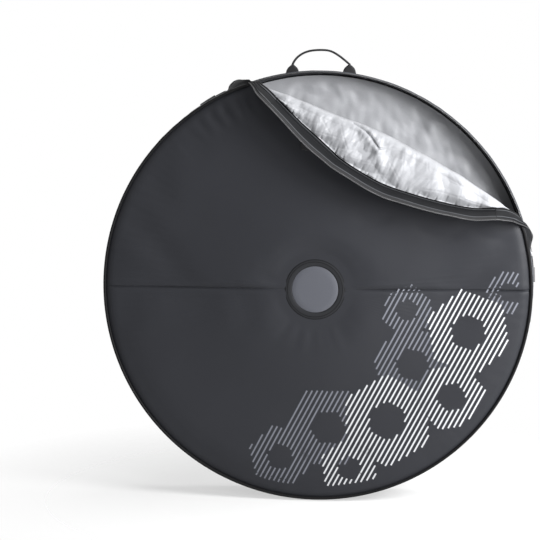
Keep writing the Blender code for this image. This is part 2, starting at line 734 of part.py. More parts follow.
def make_pull(side_name, slider, pivot_radius, way, sleeve_length):
    """Ring, cord and sleeve, lying along the gusset behind the slider. way is the sign of that direction."""
    pivot = make_empty(f"pull_{side_name}_pivot", Vector((0, 0, pivot_radius)), NO_TURN, slider)
    ring_half = PULL_RING_WIDTH / 2
    far = PULL_RING_LENGTH
    corner = PULL_RING_WIDTH * PULL_RING_CORNER_SHARE
    rim = [
        (0, -ring_half + corner),
        (0, ring_half - corner),
        (corner, ring_half),
        (far - ring_half, ring_half),
        (far - corner / 2, ring_half - corner),
        (far, 0),
        (far - corner / 2, corner - ring_half),
        (far - ring_half, -ring_half),
        (corner, -ring_half),
    ]
    ring = tube(
        f"pull_ring_{side_name}",
        [(way * x, y, 0) for x, y in rim],
        [PULL_WIRE_RADIUS] * len(rim),
        1,
        True,
    )
    place(ring, RING_METAL, pivot, Vector((0, 0, 0)))
    lie_radius = pivot_radius + PULL_LIFT

    def along(distance):
        turn = distance / lie_radius
        return Vector(
            (way * lie_radius * math.sin(turn), 0, lie_radius * math.cos(turn) - pivot_radius)
        )

    cord_start = far + PULL_WIRE_RADIUS + LAYER_GAP
    shares = [k / PULL_STEPS for k in range(PULL_STEPS + 1)]
    cord = tube(
        f"pull_cord_{side_name}",
        [along(cord_start + PULL_CORD_LENGTH * s) for s in shares],
        [PULL_CORD_RADIUS] * len(shares),
        1,
    )
    place(cord, PULL_CORD, pivot, Vector((0, 0, 0)))
    sleeve_start = cord_start + PULL_CORD_LENGTH + LAYER_GAP
    radii = [SLEEVE_RADIUS + (SLEEVE_TIP_RADIUS - SLEEVE_RADIUS) * s for s in shares]
    sleeve = tube(
        f"pull_sleeve_{side_name}",
        [along(sleeve_start + sleeve_length * s) for s in shares],
        radii,
    )
    place(sleeve, RUBBER, pivot, Vector((0, 0, 0)))


def make_sliders():
    for side_name, angle_deg, way, sleeve_length in (
        ("left", LEFT_SLIDER_DEG, -1, LEFT_SLEEVE_LENGTH),
        ("right", RIGHT_SLIDER_DEG, 1, RIGHT_SLEEVE_LENGTH),
    ):
        slider, pivot_radius = make_slider(f"slider_{side_name}")
        slider.rotation_euler = (0, math.radians(90 - angle_deg), 0)
        place(slider, SLIDER_METAL)
        make_pull(side_name, slider, pivot_radius, way, sleeve_length)


def main():
    fold_cutter = make_fold_cutter("fold_cutter")
    make_panel("back", 1, None)
    make_panel("front", -1, fold_cutter)
    make_hub("back", 1)
    make_hub("front", -1)
    make_piping()
    make_gusset()
    make_zip()
    flap_hinge = make_flap_hinge()
    make_flap(flap_hinge)
    make_fold()
    make_handles(flap_hinge)
    make_sliders()


main()
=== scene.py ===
"""The looks of a padded bag for one bike wheel, which stands with its upper corner folded open.

Metres, +Z up, the front faces -Y. Angles run anticlockwise from +X, seen from the front.
"""

import json
import math
import bpy
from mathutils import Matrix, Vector, noise
from mathutils.bvhtree import BVHTree


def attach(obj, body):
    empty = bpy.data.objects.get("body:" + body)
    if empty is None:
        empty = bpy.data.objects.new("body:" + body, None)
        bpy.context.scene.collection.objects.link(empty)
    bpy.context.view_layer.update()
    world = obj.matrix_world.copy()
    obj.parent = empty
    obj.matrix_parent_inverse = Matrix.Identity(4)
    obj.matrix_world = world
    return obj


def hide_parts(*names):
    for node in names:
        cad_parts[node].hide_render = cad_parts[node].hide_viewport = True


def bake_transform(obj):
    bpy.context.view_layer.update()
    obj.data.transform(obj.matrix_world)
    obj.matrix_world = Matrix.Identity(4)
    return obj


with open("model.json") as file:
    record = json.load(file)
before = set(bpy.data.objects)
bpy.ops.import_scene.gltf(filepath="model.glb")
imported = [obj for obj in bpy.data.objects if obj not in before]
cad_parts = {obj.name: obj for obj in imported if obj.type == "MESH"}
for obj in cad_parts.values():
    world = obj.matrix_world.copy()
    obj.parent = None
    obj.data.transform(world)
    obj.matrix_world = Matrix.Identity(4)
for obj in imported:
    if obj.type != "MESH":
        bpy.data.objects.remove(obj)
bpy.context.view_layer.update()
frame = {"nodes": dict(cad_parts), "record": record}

bl_info = {
    "name": "Bike wheel bag",
    "version": (1, 0, 0),
    "blender": (4, 5, 0),
    "location": "View3D > Sidebar > Wheel bag",
    "description": "Dresses the bike wheel bag in cloth, foam, zips and webbing",
    "category": "Object",
}

UP = Vector((0, 0, 1))
FORWARD = Vector((0, -1, 0))
SIDES = (("front", -1), ("back", 1))

# Bag
CENTRE = Vector((0, 0, 0.3784))
RIM_RADIUS = 0.380
GUSSET_BULGE = 0.004
HALF_DEPTH = 0.055
PIPING_CENTRE = 0.3745
PIPING_RADIUS = 0.0025
FACE = 0.056
HUB_FLAT_RADIUS = 0.056
DOME_RADIUS = 0.270
DOME_HEIGHT = 0.016
ZIP_START_DEG = -9.0
ZIP_END_DEG = 189.0

# Covers and linings
COVER_INNER = 0.0500
COVER_OUTER = 0.3725
COVER_EDGE = 0.360
COVER_EDGE_RUN = 0.0125
COVER_EDGE_DROP = 0.0040
COVER_LEEWAY = 0.0003
COVER_THICKNESS = 0.0010
LINING_RADIUS = 0.371
LINING_POLE = 0.0005
LINING_DEPTH = 0.0058
LINING_THICKNESS = 0.0005
SETTLE_COLUMNS = 160
SETTLE_ROWS = 20
SETTLE_FRAMES = 20
SETTLE_IN, SETTLE_OUT = -0.0004, 0.0045

# Zip, in distances from the piping's centre across the gusset
STRIP_START = 0.0022
TURN_START = 0.0023
STRIP_END = 0.0470
TAPE_END = 0.0515
TEETH_END = 0.0538
COIL_PLACE = TEETH_END - 0.001
COIL_SUNK = 0.0030
COIL_MARGIN_DEG = 1.0
GUSSET_GAP_DEG = 0.1
GUSSET_OVERLAP = 0.0006
GUSSET_THICKNESS = 0.0026
STRIP_THICKNESS = 0.0022
TURN_THICKNESS = 0.0018
COIL_RADIUS = 0.0010
COIL_SWELL = 0.00025
STRIP_COIL_SUNK = 0.0008
TAPE_THICKNESS = 0.0006
TAPE_WIDTH = 0.0154
TURN_TAPE_WIDTH = 0.0100
# How far the tapes stand out from the strip, and the bindings from the turns
BINDING_LIFT = 0.0014
ZIP_TAPE_LIFT = 0.0012
TURN_BINDING_LIFT = 0.0013
# Two narrow tapes sewn along the strip: their names and their edges, out from the piping
BINDINGS = (("binding", 0.0030, 0.0080), ("tape_edge", 0.0360, 0.0395))
# Rows of stitching along the strip: where, how far each stands up, and its width
STRIP_SEAMS = ((0.0105, 0.0010, 0.0012), (0.0075, -0.0009, 0.0018), (0.0430, 0.0008, 0.0011))

# Folded corner, in distances along the fold, outwards from the bag's centre, and in depth
ALONG = Vector((-0.88861723, 0, 0.45864955))
OUTWARD = Vector((0.45864955, 0, 0.88861723))
HINGE_OUT = 0.288
HINGE_Y = -0.064
FOLD_HALF = 0.246
FOLD_ROLL = 0.0146
LEAST_ROLL = 0.0008
ROLL_ROOM = 0.0033
CREST_FLAT = 0.003
BELLY = 0.0035
PIPING_DROP = 0.0028
EDGE_ROOM = 0.0005
# The corner's lining and cover: how much shorter or longer than the fold each is at both ends,
# where it starts inside the front, and its thickness
CORNER_LINING_SHORT = 0.002
CORNER_LINING_START_Y = -0.0480
CORNER_LINING_THICKNESS = 0.0006
CORNER_COVER_LONG = 0.003
CORNER_COVER_START_Y = -0.0540
CORNER_COVER_TAIL = 0.006
CORNER_COVER_ROLL = 0.0017
CORNER_COVER_GAP = 0.0084
CORNER_COVER_THICKNESS = 0.0018
EDGE_Y = -0.0730
STRIP_HALF = 0.210
# The strip's coil has as many turns as this length has tooth pitches
STRIP_COIL_LENGTH = 0.483
FRONT_CUT = 0.2855
FRONT_DRAWN = 0.22
TURN_LEFT_DEG = 112.8
TURN_RIGHT_DEG = 11.2
# How far before each turn its curves start on the rim, how far they run on into the strip, how
# deep they start in the rim, and how far the turn's cloth stands out
TURN_LEADS_DEG = (6, 2.6)
TURN_RUN_ON = 0.02
TURN_SUNK = 0.0015
TURN_SLACK = 0.0030


def round_place(radius, turn, y):
    """A point by its distance from the bag's axis, its turn about it and its depth."""
    return CENTRE + Vector((radius * math.cos(turn), y, radius * math.sin(turn)))


def fold_place(along, outward, y):
    """A point by its place along the fold, out from the bag's centre, and in depth."""
    return CENTRE + ALONG * along + OUTWARD * outward + Vector((0, y, 0))


def fold_over(point):
    """Where a point of the closed corner lies when the corner is folded open."""
    away = point - CENTRE
    along, outward = away.dot(ALONG), away.dot(OUTWARD)
    return fold_place(along, 2 * HINGE_OUT - outward, 2 * HINGE_Y - away.y)


def clamp(value, low=0.0, high=1.0):
    return min(max(value, low), high)


def smooth(value):
    value = clamp(value)
    return value * value * (3 - 2 * value)


def bump(value, width):
    """1 at zero, falling away over width."""
    return math.exp(-((value / width) ** 2))


def wave(x, y=0.0, z=0.0):
    """Smooth noise between about -1 and 1."""
    return noise.noise(Vector((x, y, z)))


# Modelling


def clear_selection():
    if bpy.context.mode != "OBJECT":
        bpy.ops.object.mode_set(mode="OBJECT")
    bpy.ops.object.select_all(action="DESELECT")


def activate(obj):
    clear_selection()
    obj.select_set(True)
    bpy.context.view_layer.objects.active = obj


def start_editing(obj):
    """Edit mode with the whole mesh selected."""
    activate(obj)
    bpy.ops.object.mode_set(mode="EDIT")
    bpy.ops.mesh.select_all(action="SELECT")


def stop_editing():
    bpy.ops.object.mode_set(mode="OBJECT")


def named(name):
    """The new primitive that an operator has just added, under its own name."""
    obj = bpy.context.object
    obj.name = name
    obj.data.name = name
    return obj


def cloth_grid(name, columns, rows, place_at):
    """A grid shaped into cloth: place_at takes a point's shares across and up, and places it."""
    clear_selection()
    bpy.ops.mesh.primitive_grid_add(x_subdivisions=columns, y_subdivisions=rows, size=2)
    obj = named(name)
    for vertex in obj.data.vertices:
        vertex.co = place_at((vertex.co.x + 1) / 2, (vertex.co.y + 1) / 2)
    return obj


def close_up(obj, distance=0.00002):
    """Joins the edges of a piece that meet, and turns its faces outwards."""
    start_editing(obj)
    bpy.ops.mesh.remove_doubles(threshold=distance)
    bpy.ops.mesh.normals_make_consistent(inside=False)
    stop_editing()
    return obj


def sealed(obj):
    """Joins a tube's seam and closes its two ends."""
    close_up(obj, 0.00001)
    start_editing(obj)
    bpy.ops.mesh.select_all(action="DESELECT")
    bpy.ops.mesh.select_non_manifold()
    bpy.ops.mesh.fill_holes(sides=0)
    bpy.ops.mesh.select_all(action="SELECT")
    bpy.ops.mesh.normals_make_consistent(inside=False)
    stop_editing()
    return obj


def face_towards(obj, direction):
    """Turns a sheet's faces so that they point along direction."""
    total = sum((p.normal.dot(direction) * p.area for p in obj.data.polygons), 0.0)
    if total < 0:
        start_editing(obj)
        bpy.ops.mesh.flip_normals()
        stop_editing()
    return obj


def cut_at_fold(obj, outward, fill=False):
    """Cuts away what lies beyond a line along the fold."""
    start_editing(obj)
    bpy.ops.mesh.bisect(
        plane_co=fold_place(0, outward, 0), plane_no=OUTWARD, use_fill=fill, clear_outer=True
    )
    stop_editing()
    return obj


def apply_modifiers(obj):
    activate(obj)
    for modifier in list(obj.modifiers):
        bpy.ops.object.modifier_apply(modifier=modifier.name)
    return obj


def thicken(obj, thickness):
    """Gives a sheet its thickness, inwards from its faces."""
    modifier = obj.modifiers.new("Thickness", "SOLIDIFY")
    modifier.thickness = thickness
    modifier.offset = -1.0
    return apply_modifiers(obj)


def dress(obj, look, body, slot, *nodes, angle=40.0):
    """The finished piece gets its finish and its body, and the nodes that it stands for are hidden.
    """
    activate(obj)
    bpy.ops.object.transform_apply(location=True, rotation=True, scale=True)
    bpy.ops.object.shade_smooth_by_angle(angle=math.radians(angle))
    obj.data.materials.clear()
    obj.data.materials.append(bpy.data.materials[look])
    if body:
        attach(obj, body)
    if nodes:
        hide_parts(*nodes)
    return obj


def sew(sheet, direction, thickness, look, body, slot, *nodes):
    """Turns a sheet towards direction, thickens it and dresses it."""
    face_towards(sheet, direction)
    thicken(sheet, thickness)
    return dress(sheet, look, body, slot, *nodes)


def spun_ring(name, outline, start_deg, end_deg, step_deg):
    """A closed (radius, y) outline turned about the bag's axis."""
    clear_selection()
    bpy.ops.mesh.primitive_circle_add(vertices=len(outline), radius=1, fill_type="NGON")
    obj = named(name)
    for vertex, (radius, y) in zip(obj.data.vertices, outline):
        vertex.co = round_place(radius, math.radians(start_deg), y)
    start_editing(obj)
    if end_deg - start_deg >= 360:
        bpy.ops.mesh.delete(type="ONLY_FACE")
        bpy.ops.mesh.select_all(action="SELECT")
    bpy.ops.mesh.spin(
        steps=round((end_deg - start_deg) / step_deg),
        angle=math.radians(end_deg - start_deg),
        center=CENTRE,
        axis=(0, 1, 0),
    )
    return close_up(obj)


def round_outline(radius, y, size, sides=10):
    turns = [2 * math.pi * (k + 0.5) / sides for k in range(sides)]
    return [(radius + size * math.cos(t), y + size * math.sin(t)) for t in turns]


def round_tube(name, columns, sides, centre_at, size_at):
    """A round tube along centre_at, with its radius from size_at, by the share along it."""
    step = 0.5 / columns

    def place_at(across, up):
        here = centre_at(across)
        ahead = centre_at(min(across + step, 1)) - centre_at(max(across - step, 0))
        ahead.normalize()
        side = ahead.cross(here - CENTRE).normalized()
        rise = side.cross(ahead)
        turn = 2 * math.pi * up
        return here + (side * math.cos(turn) + rise * math.sin(turn)) * size_at(across)

    return sealed(cloth_grid(name, columns, sides, place_at))


def zip_coil(name, length, centre_at, body, *nodes):
    """A zip's coil: a tube with a swelling at each turn."""
    turns = round(length / bpy.context.scene.wheel_bag_zip.tooth_pitch)

    def size_at(share):
        return COIL_RADIUS + COIL_SWELL * math.cos(2 * math.pi * share * turns)

    coil = round_tube(name, turns * 3, 6, centre_at, size_at)
    return dress(coil, "zip coil nylon", body, "zip_coil", *nodes, angle=80)


def gusset_place(angle_deg, along, lift=0.0):
    """A point on the gusset: along from the front piping's centre, lift above its outer face."""
    y = along - HALF_DEPTH
    radius = RIM_RADIUS - GUSSET_BULGE * (y / HALF_DEPTH) ** 2 + lift
    return round_place(radius, math.radians(angle_deg), y)


def dome(radius):
    run = clamp((radius - HUB_FLAT_RADIUS) / (DOME_RADIUS - HUB_FLAT_RADIUS))
    return DOME_HEIGHT * (1 - smooth(run))


# Settings


def colour_setting(name, description, default):
    return bpy.props.FloatVectorProperty(
        name=name, description=description, subtype="COLOR", size=3, min=0, max=1, default=default
    )


def length_setting(name, description, default):
    return bpy.props.FloatProperty(
        name=name, description=description, unit="LENGTH", default=default
    )


def angle_setting(name, description, degrees):
    return bpy.props.FloatProperty(
        name=name, description=description, subtype="ANGLE", default=math.radians(degrees)
    )


class BagCoverSettings(bpy.types.PropertyGroup):
    colour: colour_setting("Cover colour", "Colour of the outer cloth", (0.0170, 0.0179, 0.0215))
    ring_colour: colour_setting(
        "Hub ring colour", "Colour of the ring patch round the hub", (0.0150, 0.0156, 0.0175)
    )
    disc_colour: colour_setting(
        "Hub disc colour", "Colour of the round patch over the hub", (0.064, 0.067, 0.079)
    )
    sag: length_setting("Sag", "How far the cover waves in and out", 0.0012)
    slack: bpy.props.FloatProperty(
        name="Slack",
        description="Share by which the cover's cloth is larger than the space it fills",
        default=0.006,
        precision=4,
    )


class BagLiningSettings(bpy.types.PropertyGroup):
    colour: colour_setting("Lining colour", "Colour of the coated inner cloth", (0.27, 0.275, 0.29))
    crease: length_setting(
        "Crease height", "How far the creases of the folded corner's lining stand up", 0.0014
    )
    flare: angle_setting("Strip flare", "How far the corner's zip strip leans outwards", 18)


class BagZipSettings(bpy.types.PropertyGroup):
    tooth_pitch: length_setting(
        "Tooth pitch", "Distance from one turn of the coil to the next", 0.0016
    )
    tape_colour: colour_setting(
        "Tape colour", "Colour of the zip's tape and the webbing", (0.012, 0.012, 0.013)
    )


class BagStageSettings(bpy.types.PropertyGroup):
    azimuth: angle_setting(
        "Camera azimuth", "How far the camera stands to the right of straight ahead", 4.0
    )
    elevation: angle_setting("Camera elevation", "How far the camera looks down", 6.5)
    distance: length_setting("Camera distance", "From the bag's centre", 3.3)
    view_width: length_setting("View width", "Width of the picture at the bag's front", 0.962)


# Finishes


def node_group(name, inputs, outputs):
    """An empty group with its sockets. Each input is (name, kind, default)."""
    group = bpy.data.node_groups.new(name, "ShaderNodeTree")
    for socket, kind, default in inputs:
        made = group.interface.new_socket(socket, in_out="INPUT", socket_type=kind)
        made.default_value = default
    for socket, kind in outputs:
        group.interface.new_socket(socket, in_out="OUTPUT", socket_type=kind)
    return group, group.nodes.new("NodeGroupInput"), group.nodes.new("NodeGroupOutput")


def math_node(tree, operation, first, second):
    node = tree.nodes.new("ShaderNodeMath")
    node.operation = operation
    for socket, value in zip(node.inputs, (first, second)):
        if isinstance(value, (int, float)):
            socket.default_value = value
        else:
            tree.links.new(value, socket)
    return node.outputs["Value"]


def make_cloth_grain():
    """Uneven shade and fine threads of a woven cloth."""
    group, start, end = node_group(
        "Cloth grain",
        [
            ("Coordinates", "NodeSocketVector", (0, 0, 0)),
            ("Thread scale", "NodeSocketFloat", 900.0),
            ("Shade spread", "NodeSocketFloat", 0.1),
        ],
        [("Shade", "NodeSocketFloat"), ("Height", "NodeSocketFloat")],
    )
    fine = group.nodes.new("ShaderNodeTexNoise")
    fine.inputs["Detail"].default_value = 3.0
    group.links.new(start.outputs["Coordinates"], fine.inputs["Vector"])
    group.links.new(start.outputs["Thread scale"], fine.inputs["Scale"])
    broad = group.nodes.new("ShaderNodeTexNoise")
    broad.inputs["Scale"].default_value = 7.0
    broad.inputs["Detail"].default_value = 2.0
    group.links.new(start.outputs["Coordinates"], broad.inputs["Vector"])
    mixed = math_node(group, "ADD", fine.outputs["Fac"], broad.outputs["Fac"])
    centred = math_node(group, "SUBTRACT", mixed, 1.0)
    spread = math_node(group, "MULTIPLY", centred, start.outputs["Shade spread"])
    shade = math_node(group, "ADD", spread, 1.0)
    group.links.new(shade, end.inputs["Shade"])
    group.links.new(fine.outputs["Fac"], end.inputs["Height"])
    return group


def finish(
    name, colour, roughness, metallic=0.0, thread=900.0, spread=0.12, depth=0.0002, shine=0.22
):
    """A finish whose shade and surface follow the cloth grain."""
    material = bpy.data.materials.new(name)
    material.use_nodes = True
    material.diffuse_color = (*colour, 1)
    tree = material.node_tree
    shader = tree.nodes["Principled BSDF"]
    shader.inputs["Roughness"].default_value = roughness
    shader.inputs["Metallic"].default_value = metallic
    shader.inputs["Specular IOR Level"].default_value = shine
    where = tree.nodes.new("ShaderNodeTexCoord")
    grain = tree.nodes.new("ShaderNodeGroup")
    grain.node_tree = bpy.data.node_groups["Cloth grain"]
    grain.inputs["Thread scale"].default_value = thread
    grain.inputs["Shade spread"].default_value = spread
    tree.links.new(where.outputs["Object"], grain.inputs["Coordinates"])
    tint = tree.nodes.new("ShaderNodeMix")
    tint.data_type = "RGBA"
    tint.blend_type = "MULTIPLY"
    tint.inputs[0].default_value = 1.0
    tint.inputs[6].default_value = (*colour, 1)
    tree.links.new(grain.outputs["Shade"], tint.inputs[7])
    tree.links.new(tint.outputs[2], shader.inputs["Base Color"])
    relief = tree.nodes.new("ShaderNodeBump")
    relief.inputs["Strength"].default_value = 0.5
    relief.inputs["Distance"].default_value = depth
    tree.links.new(grain.outputs["Height"], relief.inputs["Height"])
    tree.links.new(relief.outputs["Normal"], shader.inputs["Normal"])
    return material


def soften(material, sheen, roughness=0.5):
    shader = material.node_tree.nodes["Principled BSDF"]
    shader.inputs["Sheen Weight"].default_value = sheen
    shader.inputs["Sheen Roughness"].default_value = roughness


SLOT_FINISHES = {
    "cover_fabric": "cover cloth",
    "grey_foam": "foam",
    "silver_lining": "silver lining cloth",
    "piping": "piping tape",
    "gusset_fabric": "gusset cloth",
    "hub_ring_patch": "hub ring cloth",
    "hub_disc_patch": "hub disc cloth",
    "stiffener_plastic": "stiffener sheet",
    "zip_tape": "zip tape cloth",
    "zip_coil": "zip coil nylon",
    "slider_metal": "slider paint",
    "pull_ring_metal": "ring wire",
    "pull_cord": "pull cord braid",
    "pull_sleeve_rubber": "sleeve rubber",
    "handle_webbing": "webbing",
}


class BAG_OT_finishes(bpy.types.Operator):
    """Makes the finishes and gives them to the pieces that keep their own shape"""

    bl_idname = "wheel_bag.finishes"
    bl_label = "Finishes"

    def execute(self, context):
        make_cloth_grain()
        cover = context.scene.wheel_bag_cover
        lining = context.scene.wheel_bag_lining
        tape = tuple(context.scene.wheel_bag_zip.tape_colour)
        soften(finish("cover cloth", tuple(cover.colour), 0.5, shine=0.14), 0.04)
        finish("print ink bright", (0.40, 0.405, 0.42), 0.6)
        finish("print ink dim", (0.115, 0.120, 0.140), 0.6)
        finish("hub ring cloth", tuple(cover.ring_colour), 0.55, shine=0.1)
        finish("hub disc cloth", tuple(cover.disc_colour), 0.5, thread=500.0)
        finish("silver lining cloth", tuple(lining.colour), 0.5, thread=400.0, shine=0.4)
        finish("gusset cloth", (0.052, 0.055, 0.063), 0.55)
        finish("gusset inner cloth", (0.008, 0.0083, 0.0093), 0.6, shine=0.08)
        finish("binding tape", (0.040, 0.042, 0.046), 0.5)
        finish("piping tape", (0.006, 0.006, 0.0065), 0.6, shine=0.1)
        finish("zip tape cloth", tape, 0.7)
        finish("zip coil nylon", (0.03, 0.03, 0.032), 0.28, shine=0.6)
        finish("webbing", tape, 0.55, depth=0.0004)
        finish("webbing thread", (0.03, 0.03, 0.032), 0.5)
        finish("pull cord braid", (0.02, 0.02, 0.02), 0.7)
        finish("sleeve rubber", (0.060, 0.060, 0.063), 0.42, spread=0.05, shine=0.5)
        finish("foam", (0.18, 0.18, 0.19), 0.9)
        finish("stiffener sheet", (0.08, 0.08, 0.08), 0.5)
        finish("slider paint", (0.09, 0.09, 0.095), 0.3, 1.0, spread=0.05, depth=0.00002)
        finish("ring wire", (0.45, 0.45, 0.47), 0.25, 1.0, spread=0.05, depth=0.00002)
        for part in frame["record"]["subparts"]:
            look = SLOT_FINISHES[part["material_slot"]]
            for slot in frame["nodes"][part["node"]].material_slots:
                slot.material = bpy.data.materials[look]
        return {"FINISHED"}


# Covers


def cover_edge(radius):
    """From 0 inside the border to 1 at the cover's edge."""
    return clamp((radius - COVER_EDGE) / COVER_EDGE_RUN)


def plain_cover_height(radius):
    """How far the cover would stand out from the bag's middle plane if it were smooth."""
    edge = cover_edge(radius)
    return FACE + dome(radius) - COVER_EDGE_DROP * edge * edge


def cover_height(radius, turn, side, settings):
    """How far the cover stands out, with the border's puckers, soft waves and its seam."""
    x, z = radius * math.cos(turn), radius * math.sin(turn)
    degrees = math.degrees(turn)
    edge = cover_edge(radius)
    height = plain_cover_height(radius)
    floor = height - COVER_LEEWAY
    border = clamp((radius - 0.325) / 0.035) * (1 - edge * 0.6)
    height += 0.0005 * border * (1 + wave(turn * 28, side * 3.1, radius * 9))
    inner = clamp((radius - 0.054) / 0.05) * (1 - edge)
    height += settings.sag * inner * (1 + wave(x * 7 + side, z * 7, 4.2))
    height += settings.sag * 0.5 * inner * (1 + wave(x * 17, z * 17 + side * 5, 1.7))
    height += 0.0005 * bump(abs(z) - 0.008, 0.006) * (1 + wave(x * 45, side, 2.2))
    if side < 0:
        near = bump(degrees % 360 - 117, 9) * clamp((radius - 0.318) / 0.02) * (1 - edge)
        height += 0.0016 * near * (1 + math.sin(degrees * 1.55 + 3 * wave(radius * 30)))
    return height + (floor - height) * bump(z, 0.0016)


# Arcs of the troughs: their middle across and up, radius, first and last angle
TROUGHS = (
    (0.105, 0.196, 0.075, 230, 300),
    (0.225, 0.168, 0.075, 215, 300),
    (0.318, 0.160, 0.070, 225, 295),
)


def front_troughs(x, z):
    """Shallow scallops in the front cover under the folded corner's strip."""
    depth = 0.0
    for middle_x, middle_z, radius, low, high in TROUGHS:
        dx, dz = x - middle_x, z - middle_z
        away = math.hypot(dx, dz) - radius
        turn = math.degrees(math.atan2(dz, dx)) % 360
        ends = smooth((turn - low) / 25) * smooth((high - turn) / 25)
        depth += 0.0014 * ends * bump(away, 0.009)
    return depth


def evened(moved):
    """The moves with each averaged over its neighbours, and none at the cloth's seams."""
    even = {}
    near = (-1, 0, 1)
    for (column, row), move in moved.items():
        around = [moved.get((column + across, row + up), 0.0) for across in near for up in near]
        even[column, row] = sum(around) / 9 if move else 0.0
    return even


def settled(side, settings):
    """A function of the shares across and up: how far the settled cloth moves outwards."""
    keys = {}

    def place_at(across, up):
        keys[len(keys)] = (round(across * SETTLE_COLUMNS), round(up * SETTLE_ROWS))
        turn = 2 * math.pi * across
        radius = COVER_INNER + (COVER_OUTER - COVER_INNER) * up
        uneven = 0.0004 * wave(radius * 31, turn * 9, side)
        return round_place(radius, turn, side * (FACE + dome(radius) + uneven))

    cloth = cloth_grid("settling_cover", SETTLE_COLUMNS, SETTLE_ROWS, place_at)
    face_towards(cloth, Vector((0, side, 0)))
    start = [vertex.co.y for vertex in cloth.data.vertices]
    sewn = [
        index
        for index, (column, row) in keys.items()
        if column in (0, SETTLE_COLUMNS // 2, SETTLE_COLUMNS) or row <= 1 or row >= SETTLE_ROWS - 1
    ]
    cloth.vertex_groups.new(name="sewn").add(sewn, 1.0, "REPLACE")
    modifier = cloth.modifiers.new("Cloth", "CLOTH")
    modifier.settings.quality = 5
    modifier.settings.mass = 0.25
    modifier.settings.tension_stiffness = 12
    modifier.settings.compression_stiffness = 12
    modifier.settings.bending_stiffness = 1.5
    modifier.settings.shrink_min = -settings.slack
    modifier.settings.use_pressure = True
    modifier.settings.uniform_pressure_force = 0.4
    modifier.settings.vertex_group_mass = "sewn"
    modifier.settings.effector_weights.gravity = 0.3
    modifier.point_cache.frame_start = 1
    modifier.point_cache.frame_end = SETTLE_FRAMES
    for frame_number in range(1, SETTLE_FRAMES + 1):
        bpy.context.scene.frame_set(frame_number)
    apply_modifiers(cloth)
    bpy.context.scene.frame_set(1)
    moved = {}
    for index, vertex in enumerate(cloth.data.vertices):
        move = (vertex.co.y - start[index]) * side
        moved[keys[index]] = clamp(move, SETTLE_IN, SETTLE_OUT)
    bpy.data.objects.remove(cloth)
    moved = evened(moved)

    def move_at(across, up):
        x, y = clamp(across) * SETTLE_COLUMNS, clamp(up) * SETTLE_ROWS
        column, row = min(int(x), SETTLE_COLUMNS - 1), min(int(y), SETTLE_ROWS - 1)
        s, t = smooth(x - column), smooth(y - row)
        low = moved[column, row] * (1 - s) + moved[column + 1, row] * s
        high = moved[column, row + 1] * (1 - s) + moved[column + 1, row + 1] * s
        return low * (1 - t) + high * t

    return move_at


def make_cover(name, side, settings):
    move_at = settled(side, settings)

    def place_at(across, up):
        turn = 2 * math.pi * across
        # More columns beside the horizontal seam, at both of its ends
        turn -= 0.34 * math.sin(2 * turn)
        radius = COVER_INNER + (COVER_OUTER - COVER_INNER) * up
        x, z = radius * math.cos(turn), radius * math.sin(turn)
        height = cover_height(radius, turn, side, settings)
        height += move_at(turn / (2 * math.pi), up) * (1 - bump(z, 0.004))
        if side < 0:
            floor = plain_cover_height(radius) - COVER_LEEWAY
            height = max(height - front_troughs(x, z), floor)
        return CENTRE + Vector((x, side * height, z))

    return close_up(cloth_grid(name, 840, 46, place_at))


def end_under_fold(obj, outermost):
    """Ends a sheet of the front, whose outermost radius is given, under the fold."""
    cut_at_fold(obj, FRONT_CUT)
    for vertex in obj.data.vertices:
        vertex.co = under_fold(vertex.co, outermost)


class BAG_OT_covers(bpy.types.Operator):
    """Models the outer cloth of the front and the back, with its seam and soft waves"""

    bl_idname = "wheel_bag.covers"
    bl_label = "Covers"

    def execute(self, context):
        for name, side in SIDES:
            cover = make_cover(f"{name}_cover", side, context.scene.wheel_bag_cover)
            if side < 0:
                end_under_fold(cover, COVER_OUTER)
            nodes = (f"{name}_panel_upper", f"{name}_panel_lower")
            outwards = Vector((0, side, 0))
            sew(cover, outwards, COVER_THICKNESS, "cover cloth", "shell", "cover_fabric", *nodes)
        return {"FINISHED"}


class BAG_OT_linings(bpy.types.Operator):
    """Models the crumpled silver cloth inside the front and the back"""

    bl_idname = "wheel_bag.linings"
    bl_label = "Linings"

    def execute(self, context):
        settings = context.scene.wheel_bag_lining
        columns = 480
        for name, side in SIDES:
            lining = self.make_lining(name, side, columns, settings)
            if side < 0:
                end_under_fold(lining, LINING_RADIUS)
            nodes = (f"{name}_lining", f"{name}_foam") if side < 0 else (f"{name}_lining",)
            inwards = Vector((0, -side, 0))
            look, slot = "silver lining cloth", "silver_lining"
            sew(lining, inwards, LINING_THICKNESS, look, "shell", slot, *nodes)
        return {"FINISHED"}

    def make_lining(self, name, side, columns, settings):
        def place_at(across, up):
            turn = 2 * math.pi * across
            radius = LINING_POLE + (LINING_RADIUS - LINING_POLE) * math.sqrt(up)
            x, z = radius * math.cos(turn), radius * math.sin(turn)
            free = smooth((LINING_RADIUS - radius) / 0.02)
            height = FACE - LINING_DEPTH + dome(radius) - 0.0006
            height -= free * (0.0020 + max(creases(x, z, settings.crease * 0.7), -0.0016))
            return CENTRE + Vector((x, side * height, z))

        return close_up(cloth_grid(f"{name}_inner_lining", columns, 90, place_at))


# The outlines of the hub's patches: radius, and height above the face
HUB_PATCHES = {
    "ring": (
        (0.0408, -0.0004),
        (0.0414, 0.0005),
        (0.0424, 0.0008),
        (0.0503, 0.0008),
        (0.0513, 0.0006),
        (0.0520, -0.0003),
        (0.0520, -0.0010),
        (0.0408, -0.0010),
    ),
    "disc": (
        (0.0001, 0.0003),
        (0.0300, 0.0002),
        (0.0392, 0.0001),
        (0.0405, -0.0005),
        (0.0405, -0.0011),
        (0.0001, -0.0011),
    ),
}
HUB_STITCHES = (("inner", 0.0482, 0.0007), ("outer", 0.0522, -0.0001))
STITCH_RADIUS = 0.0006


